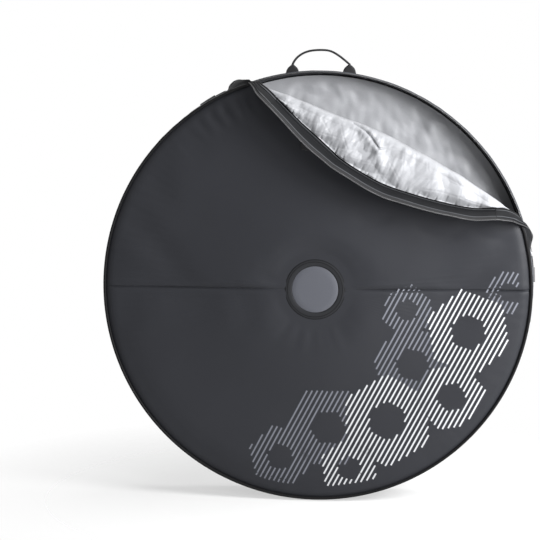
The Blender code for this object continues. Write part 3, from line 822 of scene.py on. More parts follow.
class BAG_OT_hub(bpy.types.Operator):
    """Models the ring patch and the round patch over the hub on each face"""

    bl_idname = "wheel_bag.hub"
    bl_label = "Hub patches"

    def execute(self, context):
        face = FACE + DOME_HEIGHT
        for name, side in SIDES:
            for patch, points in HUB_PATCHES.items():
                outline = [(radius, side * (face + height)) for radius, height in points]
                obj = spun_ring(f"{name}_hub_{patch}_patch", outline, 0, 360, 3)
                if patch == "disc":
                    close_up(obj, 0.0003)
                slot = f"hub_{patch}_patch"
                dress(obj, f"hub {patch} cloth", "shell", slot, f"{name}_hub_{patch}")
            for place, radius, height in HUB_STITCHES:
                outline = round_outline(radius, side * (face + height), STITCH_RADIUS, 6)
                obj = spun_ring(f"{name}_hub_stitches_{place}", outline, 0, 360, 3)
                dress(obj, "piping tape", "shell", "hub_ring_patch", angle=80)
        return {"FINISHED"}


# Print

HATCH_PITCH = 0.0080
HATCH_WIDTH = 0.0028
HATCH_STEP = 0.0015
HATCH_SHORTEST = 0.004
HATCH_TURN = math.radians(62)
PRINT_RADIUS = 0.352
INK_THICKNESS = 0.0001
# How far each ink lies above the cover
INKS = (("dim", 0.00012), ("bright", 0.00020))
# Each motif is a six-sided ring: its middle across and up, its size, turn and shade
MOTIFS = (
    (-0.062, -0.300, 0.050, 0.3, "dim"),
    (0.022, -0.246, 0.066, 0.0, "dim"),
    (0.060, -0.318, 0.046, 0.4, "bright"),
    (0.126, -0.232, 0.072, 0.5, "bright"),
    (0.170, -0.132, 0.062, 0.2, "dim"),
    (0.238, -0.188, 0.054, 0.9, "bright"),
    (0.266, -0.074, 0.066, 0.35, "bright"),
    (0.160, -0.036, 0.040, 0.7, "dim"),
    (0.336, -0.004, 0.036, 0.1, "dim"),
)


def in_motif(x, z, motif):
    """Whether a point lies in a six-sided ring."""
    middle_x, middle_z, size, motif_turn, _ = motif
    dx, dz = x - middle_x, z - middle_z
    turn = (math.atan2(dz, dx) + motif_turn) % (math.pi / 3) - math.pi / 6
    reach = math.hypot(dx, dz) * math.cos(turn) / size
    return 0.42 < reach < 1.0 and math.hypot(x, z) < PRINT_RADIUS


class BAG_OT_print(bpy.types.Operator):
    """Prints hatched six-sided rings on the lower right of the front cover"""

    bl_idname = "wheel_bag.print"
    bl_label = "Print"

    def execute(self, context):
        cover = bpy.data.objects["front_cover"]
        lookup = BVHTree.FromObject(cover, context.evaluated_depsgraph_get())
        for shade, lift in INKS:
            lines = []
            for motif in MOTIFS:
                if motif[4] == shade:
                    lines += self.hatching(motif, lookup, lift)
            activate(lines[0])
            for line in lines:
                line.select_set(True)
            bpy.ops.object.join()
            ink = named(f"print_{shade}")
            sew(ink, FORWARD, INK_THICKNESS, f"print ink {shade}", "shell", "cover_fabric")
        return {"FINISHED"}

    def hatching(self, motif, lookup, lift):
        """The hatch lines of one motif, as narrow strips that lie on the cover."""
        ahead = Vector((math.cos(HATCH_TURN), 0, math.sin(HATCH_TURN)))
        side = Vector((ahead.z, 0, -ahead.x))
        lines = []
        reach = motif[2] * 1.16
        count = round(reach / HATCH_PITCH)
        steps = round(reach / HATCH_STEP)
        middle = CENTRE + Vector((motif[0], 0, motif[1]))
        offset = (motif[0] * side.x + motif[1] * side.z) % HATCH_PITCH
        for k in range(-count, count + 1):
            start = None
            for j in range(-steps, steps + 2):
                here = middle + side * (k * HATCH_PITCH - offset) + ahead * (j * HATCH_STEP)
                inside = j <= steps and in_motif(here.x, here.z - CENTRE.z, motif)
                if inside and start is None:
                    start = here
                elif not inside and start is not None:
                    if (here - start).length > HATCH_SHORTEST:
                        lines.append(self.line(start, here, side, lookup, lift))
                    start = None
        return lines

    def line(self, start, end, side, lookup, lift):
        def place_at(across, up):
            point = start + (end - start) * across + side * (HATCH_WIDTH * (up - 0.5))
            hit = lookup.ray_cast(Vector((point.x, -0.2, point.z)), Vector((0, 1, 0)))[0]
            return hit - Vector((0, lift, 0))

        columns = max(2, round((end - start).length / 0.006))
        return cloth_grid("hatch_line", columns, 1, place_at)


# Rim


class BAG_OT_piping(bpy.types.Operator):
    """Models the piping along the seams of the front and the back"""

    bl_idname = "wheel_bag.piping"
    bl_label = "Piping"

    def execute(self, context):
        for name, y, start, end in (
            ("front", -HALF_DEPTH, TURN_LEFT_DEG, 360 + TURN_RIGHT_DEG),
            ("back", HALF_DEPTH, 0.0, 360.0),
        ):
            outline = round_outline(PIPING_CENTRE, y, PIPING_RADIUS)
            piping = spun_ring(f"{name}_piping_cord", outline, start, end, 1.5)
            dress(piping, "piping tape", "shell", "piping", f"{name}_piping", angle=80)
        return {"FINISHED"}


def gusset_strip(name, start_deg, end_deg, low, high, seed):
    """A strip of the gusset between two distances from the front piping, with soft puckers."""

    def place_at(across, up):
        angle = start_deg + (end_deg - start_deg) * across
        turn = math.radians(angle)
        middle = 4 * up * (1 - up)
        lift = 0.0009 * middle * wave(turn * 26, up * 1.5, seed) - 0.0003 * (1 - middle)
        lift += 0.0007 * middle * wave(turn * 6, up * 3, seed + 5)
        return gusset_place(angle, low + (high - low) * up, lift)

    return cloth_grid(name, round((end_deg - start_deg) * 2.2), 10, place_at)


class BAG_OT_gusset(bpy.types.Operator):
    """Models the strips of cloth round the rim"""

    bl_idname = "wheel_bag.gusset"
    bl_label = "Gusset"

    def execute(self, context):
        start = PIPING_RADIUS - GUSSET_OVERLAP
        deep = 2 * HALF_DEPTH
        zip_end, zip_start = ZIP_END_DEG + GUSSET_GAP_DEG, ZIP_START_DEG - GUSSET_GAP_DEG
        strips = (
            ("bottom", zip_end, 360 + zip_start, start, deep - start),
            ("rear", ZIP_START_DEG, ZIP_END_DEG, deep - STRIP_END, deep - start),
            ("front_left", TURN_LEFT_DEG, ZIP_END_DEG, start, STRIP_END),
            ("front_right", ZIP_START_DEG, TURN_RIGHT_DEG, start, STRIP_END),
        )
        for seed, (name, first, last, low, high) in enumerate(strips):
            strip = gusset_strip(f"gusset_cloth_{name}", first, last, low, high, seed * 7.3)
            away = gusset_place((first + last) / 2, (low + high) / 2) - CENTRE
            look, slot = "gusset cloth", "gusset_fabric"
            facing = away.normalized()
            sew(strip, facing, GUSSET_THICKNESS, look, "shell", slot, f"gusset_{name}")
        return {"FINISHED"}


# Folded corner

# How far out from the bag's centre the fold's crest and the folded corner's edge lie, by the
# place along the fold
CREST = (
    (-0.2460, 0.2778),
    (-0.2256, 0.2812),
    (-0.2012, 0.2845),
    (-0.1290, 0.2922),
    (-0.0690, 0.2948),
    (0.0000, 0.2960),
    (0.0274, 0.2953),
    (0.0749, 0.2903),
    (0.1008, 0.2867),
    (0.1488, 0.2825),
    (0.1730, 0.2804),
    (0.2050, 0.2762),
    (0.2460, 0.2722),
)
CORNER_EDGE = (
    (-0.2460, 0.2768),
    (-0.2300, 0.2782),
    (-0.2203, 0.2770),
    (-0.2048, 0.2690),
    (-0.1784, 0.2551),
    (-0.1538, 0.2463),
    (-0.1168, 0.2364),
    (-0.0748, 0.2274),
    (-0.0186, 0.2189),
    (0.0306, 0.2200),
    (0.0669, 0.2240),
    (0.0860, 0.2292),
    (0.1204, 0.2387),
    (0.1548, 0.2476),
    (0.1869, 0.2575),
    (0.2189, 0.2676),
    (0.2460, 0.2712),
)
# The front's upper edge under the fold, down to where the rim takes over at both ends
FRONT_TOP = (
    (-0.2710, 0.2586),
    (-0.2620, 0.2625),
    (-0.2560, 0.2690),
    (-0.2460, 0.2728),
    (-0.2012, 0.2785),
    (-0.1290, 0.2850),
    (0.0000, 0.2855),
    (0.0749, 0.2840),
    (0.1488, 0.2765),
    (0.2050, 0.2702),
    (0.2460, 0.2672),
    (0.2580, 0.2630),
    (0.2710, 0.2586),
)
# Where the folded corner's lining is caught in a pleat, from the crest down
PLEAT = (
    (0.0740, 0.2900),
    (0.0600, 0.2877),
    (0.0480, 0.2850),
    (0.0370, 0.2805),
    (0.0270, 0.2750),
    (0.0170, 0.2700),
)
# The shares of each sheet's width that end inside the front and over the crest
LINING_SHARES = (0.10, 0.34)
COVER_SHARES = (0.04, 0.34)


def level(table, along):
    """The height of a smooth curve through a table of (along, height) at one place along."""
    along = clamp(along, table[0][0], table[-1][0])
    k = next(i for i in range(1, len(table)) if along <= table[i][0])
    before, low = table[max(k - 2, 0)], table[k - 1]
    high, after = table[k], table[min(k + 1, len(table) - 1)]
    span = high[0] - low[0]
    t = (along - low[0]) / span
    rise_low = (high[1] - before[1]) / (high[0] - before[0]) * span
    rise_high = (after[1] - low[1]) / (after[0] - low[0]) * span
    return (
        (2 * t**3 - 3 * t**2 + 1) * low[1]
        + (t**3 - 2 * t**2 + t) * rise_low
        + (3 * t**2 - 2 * t**3) * high[1]
        + (t**3 - t**2) * rise_high
    )


def under_fold(point, outermost):
    """A point of the front, drawn down so that the sheet ends under the fold."""
    away = point - CENTRE
    along, outward = away.dot(ALONG), away.dot(OUTWARD)
    if abs(along) > FRONT_TOP[-1][0] or outward < FRONT_DRAWN:
        return point
    rim = min(FRONT_CUT, math.sqrt(outermost**2 - along**2))
    share = (outward - FRONT_DRAWN) / (rim - FRONT_DRAWN)
    drawn = FRONT_DRAWN + share * (min(level(FRONT_TOP, along), rim) - FRONT_DRAWN)
    return point + OUTWARD * (drawn - outward)


def corner_edge(along):
    """How far out the piping of the folded corner's edge lies."""
    return level(CORNER_EDGE, along) - PIPING_DROP


def roll_radius(along):
    """The radius of the fold's roll, which is smaller towards both ends."""
    share = abs(along) / FOLD_HALF
    roll = FOLD_ROLL * (1 - 0.30 * share**2) * (1 - 0.62 * smooth((share - 0.80) / 0.20))
    room = level(CREST, along) - corner_edge(along) - ROLL_ROOM
    return max(min(roll, room), LEAST_ROLL)


def fold_pivot(along):
    """How far out the middle of the fold's roll lies."""
    return level(CREST, along) - roll_radius(along)


def cloth_edge(along, pivot):
    """How far out the folded corner's cloth ends."""
    return min(corner_edge(along) + PIPING_DROP, pivot - EDGE_ROOM)


def fold_start(along, pivot, roll, tail, y, step):
    """The part of a sheet inside the front, from y and tail below the pivot up to the roll."""
    return fold_place(along, pivot - tail * (1 - step), y + (HINGE_Y + roll - y) * step)


def creases(along, outward, height):
    """The crumpled surface of thin stiff cloth: facets that fade in and out between creases."""
    total = 0.0
    for k in range(10):
        turn = 0.35 + k * 2.39996
        x = along * math.cos(turn) + outward * math.sin(turn)
        pitch = 0.016 + 0.0052 * ((k * 7) % 9)
        phase = x / pitch + 0.35 * wave(along * 14, outward * 14, k * 3.3)
        ridge = 1 - abs((phase % 1.0) * 2 - 1) * 2
        mask = smooth(0.35 + 1.8 * wave(along * 14 + k * 5.1, outward * 14, k * 1.7))
        total += ridge * mask * pitch
        total -= 0.015 * smooth(2 * mask - 1) * bump(((phase % 1.0) - 0.5) * pitch, 0.0015)
    return height * total / 0.038


def to_segment(x, y, start, end):
    """The distance to a segment and the share along it."""
    dx, dy = end[0] - start[0], end[1] - start[1]
    share = clamp(((x - start[0]) * dx + (y - start[1]) * dy) / (dx * dx + dy * dy))
    return math.hypot(x - start[0] - dx * share, y - start[1] - dy * share), share


def pleat(along, outward):
    """The groove of the pleat, the soft ridge beyond its end and a tuck above that end."""
    pairs = zip(PLEAT, PLEAT[1:])
    groove = min(to_segment(along, outward, start, end)[0] for start, end in pairs)
    depth = -0.0034 * bump(groove, 0.0017) + 0.0018 * bump(groove - 0.006, 0.005)
    away, share = to_segment(along, outward, PLEAT[-1], (-0.0120, 0.2300))
    depth += 0.0034 * bump(away, 0.0075) * (1 - 0.6 * share)
    away, share = to_segment(along, outward, (0.0150, 0.2690), (-0.0020, 0.2780))
    return depth - 0.0022 * bump(away, 0.0018) * (1 - share)


def gathers(along, below):
    """Short tucks at uneven distances. below is how far the point lies in from the edge."""
    place = along / 0.017 + 0.6 * wave(along * 21, 4.4)
    tuck = (place % 1.0) - 0.5
    length = 0.010 + 0.010 * abs(wave(math.floor(place) * 3.7, 9.1)) * 2
    return -0.0016 * bump(tuck, 0.10) * smooth(1 - below / length)


def lining_point(across, up, settings):
    """The silver side of the fold: from inside the front, over the crest, to the edge."""
    along = (2 * across - 1) * (FOLD_HALF - CORNER_LINING_SHORT)
    share = abs(along) / FOLD_HALF
    roll, pivot = roll_radius(along), fold_pivot(along)
    inside, over = LINING_SHARES
    if up < inside:
        tail = 0.022 - 0.018 * smooth((share - 0.6) / 0.4)
        return fold_start(along, pivot, roll, tail, CORNER_LINING_START_Y, up / inside)
    edge = cloth_edge(along, pivot)
    half = clamp((up - inside) / (over - inside))
    # The crest is a little flat: the turn leaves out an arc at its top
    flat = math.asin(min(CREST_FLAT / roll, 0.9))
    turn = half * (math.pi - 2 * flat) + (2 * flat if half > 0.5 else 0)
    step = clamp((up - over) / (1 - over))
    run = turn * roll + (pivot - edge) * step
    outward = pivot + math.pi * roll - run
    ends = smooth((1 - share) / 0.14)
    amount = ends * smooth((run - 0.010) / 0.035) * smooth((1 - step) / 0.05)
    relief = amount * (creases(along, outward, settings.crease) + pleat(along, outward))
    relief += ends * gathers(along, (pivot - edge) * (1 - step)) * smooth(step / 0.3)
    relief = max(relief, -0.0026 * ends)
    if up < over:
        out = roll + relief
        return fold_place(along, pivot + out * math.sin(turn), HINGE_Y + out * math.cos(turn))
    belly = BELLY * math.sin(math.pi * step) * ends
    return fold_place(along, pivot + (edge - pivot) * step, HINGE_Y - roll - belly - relief)


def corner_cover_point(across, up):
    """The cover's side of the same fold, inside the lining's and a little longer."""
    along = (2 * across - 1) * (FOLD_HALF + CORNER_COVER_LONG)
    spare = roll_radius(along) - CORNER_COVER_GAP
    # The roll grows softly with what the lining's roll has to spare, up to its own limit
    roll = min(LEAST_ROLL + 0.5 * (spare + math.hypot(spare, 0.002)), CORNER_COVER_ROLL)
    pivot = fold_pivot(along)
    inside, over = COVER_SHARES
    if up < inside:
        tail, y = CORNER_COVER_TAIL, CORNER_COVER_START_Y
        return fold_start(along, pivot, roll, tail, y, up / inside)
    if up < over:
        turn = math.pi * (up - inside) / (over - inside)
        return fold_place(along, pivot + roll * math.sin(turn), HINGE_Y + roll * math.cos(turn))
    step = (up - over) / (1 - over)
    return fold_place(along, pivot + (cloth_edge(along, pivot) - pivot) * step, HINGE_Y - roll)


def edge_frame(along):
    """A point on the folded corner's edge and the direction away from the corner there."""
    step = 0.001
    slope = corner_edge(along + step) - corner_edge(along - step)
    away = (ALONG * slope - OUTWARD * 2 * step).normalized()
    return fold_place(along, corner_edge(along), EDGE_Y), away


def strip_along(share):
    """The place along the fold at a share of the strip's length."""
    return -STRIP_HALF + 2 * STRIP_HALF * share


def strip_seams(out):
    """How far the rows of stitching stand up from the strip, by the distance from the piping."""
    return sum(height * bump(out - place, width) for place, height, width in STRIP_SEAMS)


def strip_point(along, out, settings, lift=0.0):
    """A point on the corner's zip strip, out from the edge's piping."""
    base, away = edge_frame(along)
    uneven = 0.96 + 0.24 * bump(along - 0.12, 0.06) + 0.06 * wave(along * 9, 0.3, 8.0)
    lean = settings.flare * uneven
    wavy = 0.0016 * smooth(out / 0.03) * wave(along * 22, out * 20, 5.5) + strip_seams(out)
    direction = FORWARD * math.cos(lean) + away * math.sin(lean)
    normal = FORWARD * math.sin(lean) - away * math.cos(lean)
    return base + direction * out - normal * (lift + wavy)


def lay_over_fold(obj):
    """Bakes the placement of a sheet of the fold into its mesh."""
    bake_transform(obj)


def hand_over(obj):
    """Bakes the placement of a piece at the fold's end into its mesh."""
    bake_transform(obj)


class BAG_OT_corner(bpy.types.Operator):
    """Models the folded corner: its crumpled lining, its cover, its piping and its zip strip"""

    bl_idname = "wheel_bag.corner"
    bl_label = "Folded corner"

    def execute(self, context):
        settings = context.scene.wheel_bag_lining
        columns = 420
        lining = cloth_grid(
            "corner_lining", columns, 130, lambda u, v: lining_point(u, v, settings)
        )
        dressing = ("silver lining cloth", None, "silver_lining", "flap_lining", "flap_fold_lining")
        sew(lining, FORWARD, CORNER_LINING_THICKNESS, *dressing)
        lay_over_fold(lining)
        cover = cloth_grid("corner_cover", 120, 60, corner_cover_point)
        nodes = ("flap_panel", "flap_foam", "flap_fold_cover")
        dressing = ("cover cloth", None, "cover_fabric", *nodes)
        sew(cover, FORWARD, CORNER_COVER_THICKNESS, *dressing)
        lay_over_fold(cover)
        self.make_piping()
        self.make_strip(settings)
        return {"FINISHED"}

    def make_piping(self):
        def place_at(across, up):
            base, away = edge_frame(strip_along(across))
            turn = 2 * math.pi * up
            out = away * math.cos(turn) + Vector((0, 1, 0)) * math.sin(turn)
            return base + out * PIPING_RADIUS

        piping = close_up(cloth_grid("corner_piping", 160, 10, place_at))
        dress(piping, "piping tape", "flap", "piping", "flap_piping", angle=80)

    def make_strip(self, settings):
        def add_band(name, columns, rows, low, high, lift, thickness, *dressing):
            """A piece of the strip between two distances from the piping."""

            def place_at(across, up):
                return strip_point(strip_along(across), low + (high - low) * up, settings, lift)

            look, *rest = dressing
            band = cloth_grid(f"corner_{name}", columns, rows, place_at)
            sew(band, UP, thickness, look, "flap", *rest)

        dressing = ("gusset inner cloth", "gusset_fabric", "flap_gusset")
        add_band("strip", 240, 44, STRIP_START, STRIP_END, 0.0, STRIP_THICKNESS, *dressing)
        dressing = ("binding tape", "gusset_fabric")
        for name, low, high in BINDINGS:
            add_band(name, 200, 3, low, high, -BINDING_LIFT, TAPE_THICKNESS, *dressing)
        dressing = ("zip tape cloth", "zip_tape", "flap_zip_tape")
        low, lift = TAPE_END - TAPE_WIDTH, -ZIP_TAPE_LIFT
        add_band("zip_tape", 200, 6, low, TAPE_END, lift, TAPE_THICKNESS, *dressing)

        def coil_at(share):
            return strip_point(strip_along(share), COIL_PLACE, settings, -STRIP_COIL_SUNK)

        zip_coil("corner_zip_coil", STRIP_COIL_LENGTH, coil_at, "flap", "flap_zip_teeth")


# Where the strip lifts off the rim and folds over, from the rim to the folded corner: the piping
# and the teeth, each by its place along the fold, outwards and in depth
TURN_STATIONS = {
    "left": (
        ((0.2839, 0.2442, -0.0550), (0.3015, 0.2408, -0.0010)),
        ((0.2753, 0.2539, -0.0550), (0.2975, 0.2518, -0.0040)),
        ((0.2665, 0.2615, -0.0560), (0.2875, 0.2600, -0.0200)),
        ((0.2590, 0.2680, -0.0600), (0.2709, 0.2644, -0.0500)),
        ((0.2525, 0.2725, -0.0660), (0.2590, 0.2630, -0.0760)),
        ((0.2440, 0.2718, -0.0715), (0.2440, 0.2558, -0.0970)),
        ((0.2300, 0.2690, -0.0728), (0.2280, 0.2517, -0.1150)),
    ),
    "right": (
        ((-0.2813, 0.2472, -0.0550), (-0.2982, 0.2391, -0.0010)),
        ((-0.2726, 0.2568, -0.0550), (-0.2951, 0.2509, -0.0040)),
        ((-0.2640, 0.2640, -0.0555), (-0.2894, 0.2573, -0.0150)),
        ((-0.2600, 0.2700, -0.0600), (-0.2754, 0.2650, -0.0450)),
        ((-0.2545, 0.2742, -0.0670), (-0.2535, 0.2657, -0.0880)),
        ((-0.2440, 0.2772, -0.0715), (-0.2420, 0.2646, -0.1000)),
        ((-0.2290, 0.2766, -0.0728), (-0.2300, 0.2612, -0.1150)),
    ),
}


def through(points, share):
    """A smooth curve through the points; the first and the last only steer its ends."""
    spans = len(points) - 3
    place = clamp(share) * spans
    k = min(int(place), spans - 1)
    t = place - k
    a, b, c, d = points[k : k + 4]
    return 0.5 * (
        2 * b + (c - a) * t + (2 * a - 5 * b + 4 * c - d) * t**2 + (3 * b - a - 3 * c + d) * t**3
    )


class BAG_OT_corner_turns(bpy.types.Operator):
    """Models the gusset strip where it lifts off the rim and folds over at the fold's ends"""

    bl_idname = "wheel_bag.corner_turns"
    bl_label = "Corner turns"

    def execute(self, context):
        settings = context.scene.wheel_bag_lining
        for name, angle, way in (("left", TURN_LEFT_DEG, 1), ("right", TURN_RIGHT_DEG, -1)):
            bases, tips = [], []
            for lead in TURN_LEADS_DEG:
                turn = angle + lead * way
                bases.append(gusset_place(turn, 0.0, -TURN_SUNK))
                tips.append(gusset_place(turn, COIL_PLACE, -COIL_SUNK))
            for base, tip in TURN_STATIONS[name]:
                bases.append(fold_place(*base))
                tips.append(fold_place(*tip))
            for along in (STRIP_HALF, STRIP_HALF - TURN_RUN_ON):
                bases.append(edge_frame(along * way)[0])
                tips.append(strip_point(along * way, COIL_PLACE, settings, -STRIP_COIL_SUNK))
            self.make_turn(name, bases, tips)
        return {"FINISHED"}

    def make_turn(self, name, bases, tips):
        def straight(across, near):
            base, tip = through(bases, across), through(tips, across)
            return base + (tip - base) * (near / TEETH_END)

        def slack(across, near, raised):
            """The same surface with the cloth's slack, raised above it."""
            ends = math.sin(math.pi * across)
            up = (near - TURN_START) / (STRIP_END - TURN_START)
            loose = TURN_SLACK * ends * math.sin(math.pi * up)
            fold = 0.0016 * wave(across * 6, up * 3, 7.7) * ends * smooth(up * 4)
            here = straight(across, near)
            return here + (here - CENTRE).normalized() * (loose + fold + raised)

        def cloth_at(across, up):
            near = TURN_START + (STRIP_END - TURN_START) * up
            return slack(across, near, -strip_seams(near))

        def tape_at(across, up):
            return straight(across, TAPE_END - TURN_TAPE_WIDTH + TURN_TAPE_WIDTH * up)

        for kind, low, high in BINDINGS:
            binding = cloth_grid(
                f"corner_{kind}_turn_{name}",
                60,
                3,
                lambda u, v: slack(u, low + (high - low) * v, TURN_BINDING_LIFT),
            )
            hand_over(sew(binding, OUTWARD, TAPE_THICKNESS, "binding tape", None, "gusset_fabric"))
        cloth = cloth_grid(f"corner_turn_{name}", 60, 44, cloth_at)
        look = "gusset inner cloth"
        hand_over(sew(cloth, OUTWARD, TURN_THICKNESS, look, None, "gusset_fabric"))
        tape = thicken(cloth_grid(f"corner_tape_turn_{name}", 48, 3, tape_at), TAPE_THICKNESS)
        hand_over(dress(tape, "zip tape cloth", None, "zip_tape"))
        piping = round_tube(
            f"corner_piping_turn_{name}",
            40,
            10,
            lambda share: through(bases, share),
            lambda share: PIPING_RADIUS,
        )
        hand_over(dress(piping, "piping tape", None, "piping", angle=80))
        places = [through(tips, k / 20) for k in range(21)]
        length = sum((after - before).length for before, after in zip(places, places[1:]))
        coil_name = f"corner_coil_turn_{name}"
        hand_over(zip_coil(coil_name, length, lambda share: through(tips, share), None))


# Zip


class BAG_OT_zip(bpy.types.Operator):
    """Models the coils of the zip along the rim"""

    bl_idname = "wheel_bag.zip"
    bl_label = "Zip coils"

    def execute(self, context):
        start_deg, end_deg = ZIP_START_DEG + COIL_MARGIN_DEG, ZIP_END_DEG - COIL_MARGIN_DEG
        for name, start, end, along in (
            ("front_left", TURN_LEFT_DEG, end_deg, COIL_PLACE),
            ("front_right", start_deg, TURN_RIGHT_DEG, COIL_PLACE),
            ("rear", start_deg, end_deg, 2 * HALF_DEPTH - COIL_PLACE),
        ):
            zip_coil(
                f"zip_coil_{name}",
                math.radians(end - start) * RIM_RADIUS,
                lambda share: gusset_place(start + (end - start) * share, along, -COIL_SUNK),
                "shell",
                f"zip_teeth_{name}",
            )
        return {"FINISHED"}


# A node, its body, the width of its rounding, the rounding's segments, its finish and its slot
SLIDER_PIECES = (
    ("slider", "slider", 0.0004, 2, "slider paint", "slider_metal"),
    ("pull_sleeve", "pull", 0.0016, 4, "sleeve rubber", "pull_sleeve_rubber"),
)


def rounded(node_name, name, width, segments):
    """A copy of a node with rounded edges."""
    activate(frame["nodes"][node_name])
    bpy.ops.object.duplicate()
    obj = named(name)
    obj.parent = None
    close_up(obj)
    bevel = obj.modifiers.new("Bevel", "BEVEL")
    bevel.width = width
    bevel.segments = segments
    bevel.limit_method = "ANGLE"
    return apply_modifiers(obj)


class BAG_OT_sliders(bpy.types.Operator):
    """Rounds the edges of the two sliders and of the rubber sleeves on their pulls"""

    bl_idname = "wheel_bag.sliders"
    bl_label = "Sliders and pulls"

    def execute(self, context):
        for side in ("left", "right"):
            for node, body, width, segments, look, slot in SLIDER_PIECES:
                obj = rounded(f"{node}_{side}", f"{node}_{side}_body", width, segments)
                dress(obj, look, f"{body}_{side}", slot, f"{node}_{side}")
        return {"FINISHED"}


# Handles

HANDLE_FOOT = Vector((0, 0.065, 0.7691))
HANDLE_HALF = 0.051
STRAP_HALF_THICK = 0.0019
STRAP_HALF_WIDE = 0.0050
HANDLE_LINE = (
    (-0.0520, -0.0060),
    (-0.0510, 0.0),
    (-0.0478, 0.0062),
    (-0.0418, 0.0132),
    (-0.0329, 0.0193),
    (-0.0237, 0.0229),
    (-0.0146, 0.0247),
    (-0.0010, 0.0255),
    (0.0116, 0.0247),
    (0.0219, 0.0214),
    (0.0333, 0.0144),
    (0.0425, 0.0072),
    (0.0510, 0.0),
    (0.0575, -0.0060),
)
# Down from the handle's foot: the webbing's middle in depth, half its width and half its thickness
ANCHOR_ROWS = (
    (-0.0010, 0.0650, 0.0018, 0.0050),
    (0.0010, 0.0650, 0.0024, 0.0050),
    (0.0030, 0.0641, 0.0050, 0.0041),
    (0.0055, 0.0630, 0.0078, 0.0030),
    (0.0080, 0.0620, 0.0096, 0.0021),
    (0.0110, 0.0608, 0.0109, 0.0014),
    (0.0150, 0.0597, 0.0119, 0.0010),
    (0.0190, 0.0590, 0.0125, 0.0009),
    (0.0263, 0.0588, 0.0125, 0.0009),
    (0.0283, 0.0578, 0.0125, 0.0009),
    (0.0301, 0.0572, 0.0125, 0.0008),
    (0.0375, 0.0572, 0.0125, 0.0008),
    (0.0465, 0.0572, 0.0125, 0.0008),
    (0.0472, 0.0571, 0.0121, 0.0005),
)
# How far out the front's left tab is cut by the fold
TAB_CUT = 0.268
# The box of stitches on a tab: its middle below the handle's foot and in depth, half its width
# and height, the length from one stitch to the next and the thread's radius
BOX_DROP = 0.0381
BOX_Y = 0.0582
BOX_HALF = 0.0102
BOX_RISE = 0.0072
BOX_STITCH = 0.0028
THREAD_RADIUS = 0.00032


def webbing_section(share, wide, deep):
    """A point on a flat rounded section."""
    turn = 2 * math.pi * share
    across, out = math.cos(turn), math.sin(turn)
    square = (across**4 + out**4) ** 0.25
    return across / square * wide, out / square * deep


def box_stitching(name, place_at, body):
    """Stitches round a square and across it. place_at takes a point across and up on the tab."""
    clear_selection()
    curve = bpy.data.curves.new(name, "CURVE")
    curve.dimensions = "3D"
    curve.bevel_depth = THREAD_RADIUS
    curve.bevel_resolution = 0
    curve.use_fill_caps = True
    half, rise = BOX_HALF, BOX_RISE
    corners = ((-half, -rise), (half, -rise), (half, rise), (-half, rise))
    lines = [(corners[k], corners[(k + 1) % 4]) for k in range(4)]
    lines += [(corners[0], corners[2]), (corners[1], corners[3])]
    for (x0, z0), (x1, z1) in lines:
        count = round(math.hypot(x1 - x0, z1 - z0) / BOX_STITCH)
        for k in range(count):
            spline = curve.splines.new("POLY")
            spline.points.add(1)
            for point, share in zip(spline.points, ((k + 0.1) / count, (k + 0.9) / count)):
                at = place_at(x0 + (x1 - x0) * share, z0 + (z1 - z0) * share)
                point.co = (*at, 1)
    obj = bpy.data.objects.new(name, curve)
    bpy.context.scene.collection.objects.link(obj)
    activate(obj)
    bpy.ops.object.convert(target="MESH")
    obj = close_up(bpy.context.object, 0.000001)
    return dress(obj, "webbing thread", body, "handle_webbing")


def make_strap(name, body, turned):
    """The handle's folded webbing. turned takes a point of the rear handle to this handle's."""
    line = [Vector((x, 0, z)) for x, z in HANDLE_LINE]

    def place_at(across, up):
        here = through(line, across)
        ahead = through(line, across + 0.005) - through(line, across - 0.005)
        ahead.normalize()
        outside = Vector((-ahead.z, 0, ahead.x))
        thick, wide = webbing_section(up, STRAP_HALF_THICK, STRAP_HALF_WIDE)
        return turned(HANDLE_FOOT + here + outside * thick + Vector((0, wide, 0)))

    strap = sealed(cloth_grid(name, 120, 20, place_at))
    dress(strap, "webbing", body, "handle_webbing", body)
    return close_up(strap, 0.000001)


def make_anchor(name, x, body, place, node):
    """A handle's sewn end: webbing that opens out from the handle into a flat tab."""
    drops = [row[0] for row in ANCHOR_ROWS]

    def row_at(drop):
        k = next((i for i in range(1, len(drops)) if drop <= drops[i]), len(drops) - 1)
        t = clamp((drop - drops[k - 1]) / (drops[k] - drops[k - 1]))
        return [a + (b - a) * t for a, b in zip(ANCHOR_ROWS[k - 1], ANCHOR_ROWS[k])]

    def place_at(across, up):
        drop, depth, wide, deep = row_at(drops[0] + (drops[-1] - drops[0]) * across)
        dx, dy = webbing_section(up, wide, deep)
        return place(Vector((x + dx, depth + dy, HANDLE_FOOT.z - drop)))

    return dress(
        sealed(cloth_grid(name, 80, 24, place_at)), "webbing", body, "handle_webbing", node
    )


def front_place(point):
    """Where a point of the rear handle's sewn ends lies on the folded corner."""
    return fold_over(Vector((point.x, -point.y, point.z)))


def hanging_place(point):
    """Where a point of the rear handle lies on the front one, which hangs from its foot."""
    drop = 2 * HANDLE_FOOT - point
    return front_place(Vector((point.x, drop.y, drop.z)))


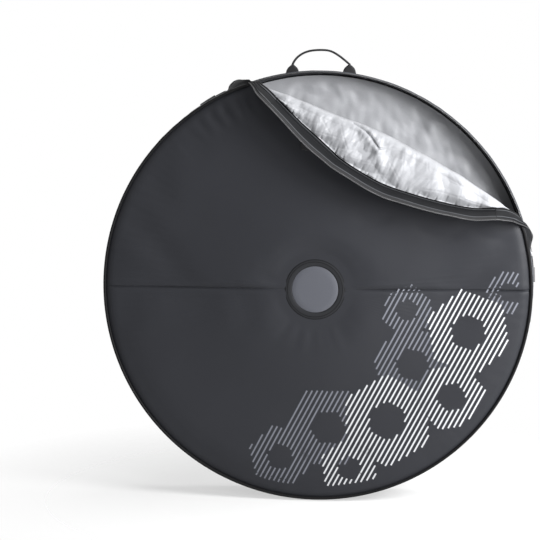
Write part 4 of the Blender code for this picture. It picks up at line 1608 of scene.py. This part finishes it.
class BAG_OT_handles(bpy.types.Operator):
    """Models both handles from webbing that is folded lengthwise, and their sewn ends"""

    bl_idname = "wheel_bag.handles"
    bl_label = "Handles"

    def execute(self, context):
        for name, place, strap_place, body in (
            ("rear", Vector, Vector, "shell"),
            ("front", front_place, hanging_place, "flap"),
        ):
            make_strap(f"{name}_handle_strap", f"{name}_handle", strap_place)
            for side, x in (("left", -HANDLE_HALF), ("right", HANDLE_HALF)):
                node = f"{name}_handle_anchor_{side}"
                tab = make_anchor(f"{name}_handle_tab_{side}", x, body, place, node)
                ends_in_fold = (name, side) == ("front", "left")
                if ends_in_fold:
                    cut_at_fold(tab, TAB_CUT, fill=True)
                close_up(tab, 0.000001)
                if ends_in_fold:
                    continue

                def on_tab(across, up):
                    return place(Vector((x + across, BOX_Y, HANDLE_FOOT.z - BOX_DROP + up)))

                box_stitching(f"{name}_handle_stitches_{side}", on_tab, body)
        return {"FINISHED"}


# Stage

# Each light's name, place, size and power. All of them face the bag's centre
LIGHTS = (
    ("key light", (1.15, -0.80, 0.90), 0.7, 42),
    ("side light", (1.9, -2.6, 0.75), 0.9, 46),
    ("fill light", (-2.2, -2.6, 1.6), 1.8, 7),
    ("top light", (0.4, 0.4, 2.6), 1.4, 24),
)
SENSOR_WIDTH = 36
# Where the camera aims, to the right of the bag's centre and above it
AIM_RIGHT = -0.0855
AIM_UP = 0.0262


def add_area_light(name, place, size, power):
    light = bpy.data.lights.new(name, "AREA")
    light.shape = "DISK"
    light.size = size
    light.energy = power
    obj = bpy.data.objects.new(name, light)
    location = Vector(place)
    obj.location = location
    obj.rotation_euler = (CENTRE - location).to_track_quat("-Z", "Y").to_euler()
    bpy.context.scene.collection.objects.link(obj)


def mix_shaders(tree, share, first, second, output):
    """Sends a mix of two shaders to the tree's output, the second by its share."""
    mix = tree.nodes.new("ShaderNodeMixShader")
    tree.links.new(share, mix.inputs["Fac"])
    tree.links.new(first, mix.inputs[1])
    tree.links.new(second, mix.inputs[2])
    tree.links.new(mix.outputs["Shader"], tree.nodes[output].inputs["Surface"])


class BAG_OT_stage(bpy.types.Operator):
    """Sets up the floor, the lights, the background and the camera"""

    bl_idname = "wheel_bag.stage"
    bl_label = "Stage"

    def execute(self, context):
        scene = context.scene
        scene.view_settings.view_transform = "Standard"
        clear_selection()
        bpy.ops.mesh.primitive_plane_add(size=30, location=(0, 0, -0.0005))
        floor = named("floor")
        floor.data.materials.append(self.floor_finish())
        self.make_world(scene)
        for light in LIGHTS:
            add_area_light(*light)
        self.make_camera(scene, scene.wheel_bag_stage)
        return {"FINISHED"}

    def floor_finish(self):
        """White, with the bag's shadow on it, fading away into the background."""
        material = bpy.data.materials.new("white floor")
        material.use_nodes = True
        tree = material.node_tree
        shader = tree.nodes["Principled BSDF"]
        shader.inputs["Base Color"].default_value = (0.93, 0.93, 0.93, 1)
        shader.inputs["Roughness"].default_value = 0.9
        clear = tree.nodes.new("ShaderNodeBsdfTransparent")
        rays = tree.nodes.new("ShaderNodeLightPath")
        where = tree.nodes.new("ShaderNodeTexCoord")
        away = tree.nodes.new("ShaderNodeVectorMath")
        away.operation = "LENGTH"
        tree.links.new(where.outputs["Object"], away.inputs[0])
        fade = tree.nodes.new("ShaderNodeMapRange")
        fade.inputs["From Min"].default_value = 0.30
        fade.inputs["From Max"].default_value = 0.75
        fade.inputs["To Min"].default_value = 0.45
        fade.inputs["To Max"].default_value = 0.0
        tree.links.new(away.outputs["Value"], fade.inputs["Value"])
        hidden = math_node(tree, "SUBTRACT", 1.0, rays.outputs["Is Camera Ray"])
        share = math_node(tree, "MAXIMUM", hidden, fade.outputs["Result"])
        mix_shaders(tree, share, clear.outputs[0], shader.outputs[0], "Material Output")
        return material

    def make_world(self, scene):
        """White where the camera, a reflection or a see-through piece sees it, and dim light."""
        world = bpy.data.worlds.new("white studio")
        world.use_nodes = True
        scene.world = world
        tree = world.node_tree
        ambient = tree.nodes["Background"]
        white = tree.nodes.new("ShaderNodeBackground")
        for background, strength in ((ambient, 0.20), (white, 1.0)):
            background.inputs["Color"].default_value = (1, 1, 1, 1)
            background.inputs["Strength"].default_value = strength
        rays = tree.nodes.new("ShaderNodeLightPath").outputs
        shown = math_node(tree, "MAXIMUM", rays["Is Glossy Ray"], rays["Is Transmission Ray"])
        seen = math_node(tree, "MAXIMUM", rays["Is Camera Ray"], shown)
        mix_shaders(tree, seen, ambient.outputs[0], white.outputs[0], "World Output")

    def make_camera(self, scene, settings):
        data = bpy.data.cameras.new("camera")
        camera = bpy.data.objects.new("camera", data)
        scene.collection.objects.link(camera)
        scene.camera = camera
        azimuth, elevation = settings.azimuth, settings.elevation
        level_back = math.cos(elevation)
        back = Vector(
            (
                math.sin(azimuth) * level_back,
                -math.cos(azimuth) * level_back,
                math.sin(elevation),
            )
        )
        camera.location = CENTRE + back * settings.distance
        data.sensor_width = SENSOR_WIDTH
        data.lens = SENSOR_WIDTH * settings.distance / settings.view_width
        right = Vector((math.cos(azimuth), math.sin(azimuth), 0))
        aim = CENTRE + right * AIM_RIGHT + right.cross(-back) * AIM_UP
        camera.rotation_mode = "QUATERNION"
        camera.rotation_quaternion = (aim - camera.location).to_track_quat("-Z", "Y")
        data.clip_start = 0.1
        data.clip_end = 50


class BAG_PT_panel(bpy.types.Panel):
    bl_idname = "BAG_PT_panel"
    bl_label = "Wheel bag"
    bl_space_type = "VIEW_3D"
    bl_region_type = "UI"
    bl_category = "Wheel bag"

    def draw(self, context):
        for operator in PIECES:
            self.layout.operator(operator.bl_idname)
        for name in SETTINGS:
            settings = getattr(context.scene, name)
            for key in settings.__annotations__:
                self.layout.prop(settings, key)


SETTINGS = {
    "wheel_bag_cover": BagCoverSettings,
    "wheel_bag_lining": BagLiningSettings,
    "wheel_bag_zip": BagZipSettings,
    "wheel_bag_stage": BagStageSettings,
}
PIECES = (
    BAG_OT_finishes,
    BAG_OT_covers,
    BAG_OT_linings,
    BAG_OT_hub,
    BAG_OT_print,
    BAG_OT_piping,
    BAG_OT_gusset,
    BAG_OT_corner,
    BAG_OT_corner_turns,
    BAG_OT_zip,
    BAG_OT_sliders,
    BAG_OT_handles,
    BAG_OT_stage,
)


def register():
    for cls in (*SETTINGS.values(), *PIECES, BAG_PT_panel):
        bpy.utils.register_class(cls)
    for name, cls in SETTINGS.items():
        setattr(bpy.types.Scene, name, bpy.props.PointerProperty(type=cls))


def unregister():
    for name in SETTINGS:
        delattr(bpy.types.Scene, name)
    for cls in reversed((*SETTINGS.values(), *PIECES, BAG_PT_panel)):
        bpy.utils.unregister_class(cls)


def main():
    register()
    for operator in PIECES:
        group, name = operator.bl_idname.split(".")
        getattr(getattr(bpy.ops, group), name)()


if __name__ == "__main__":
    main()
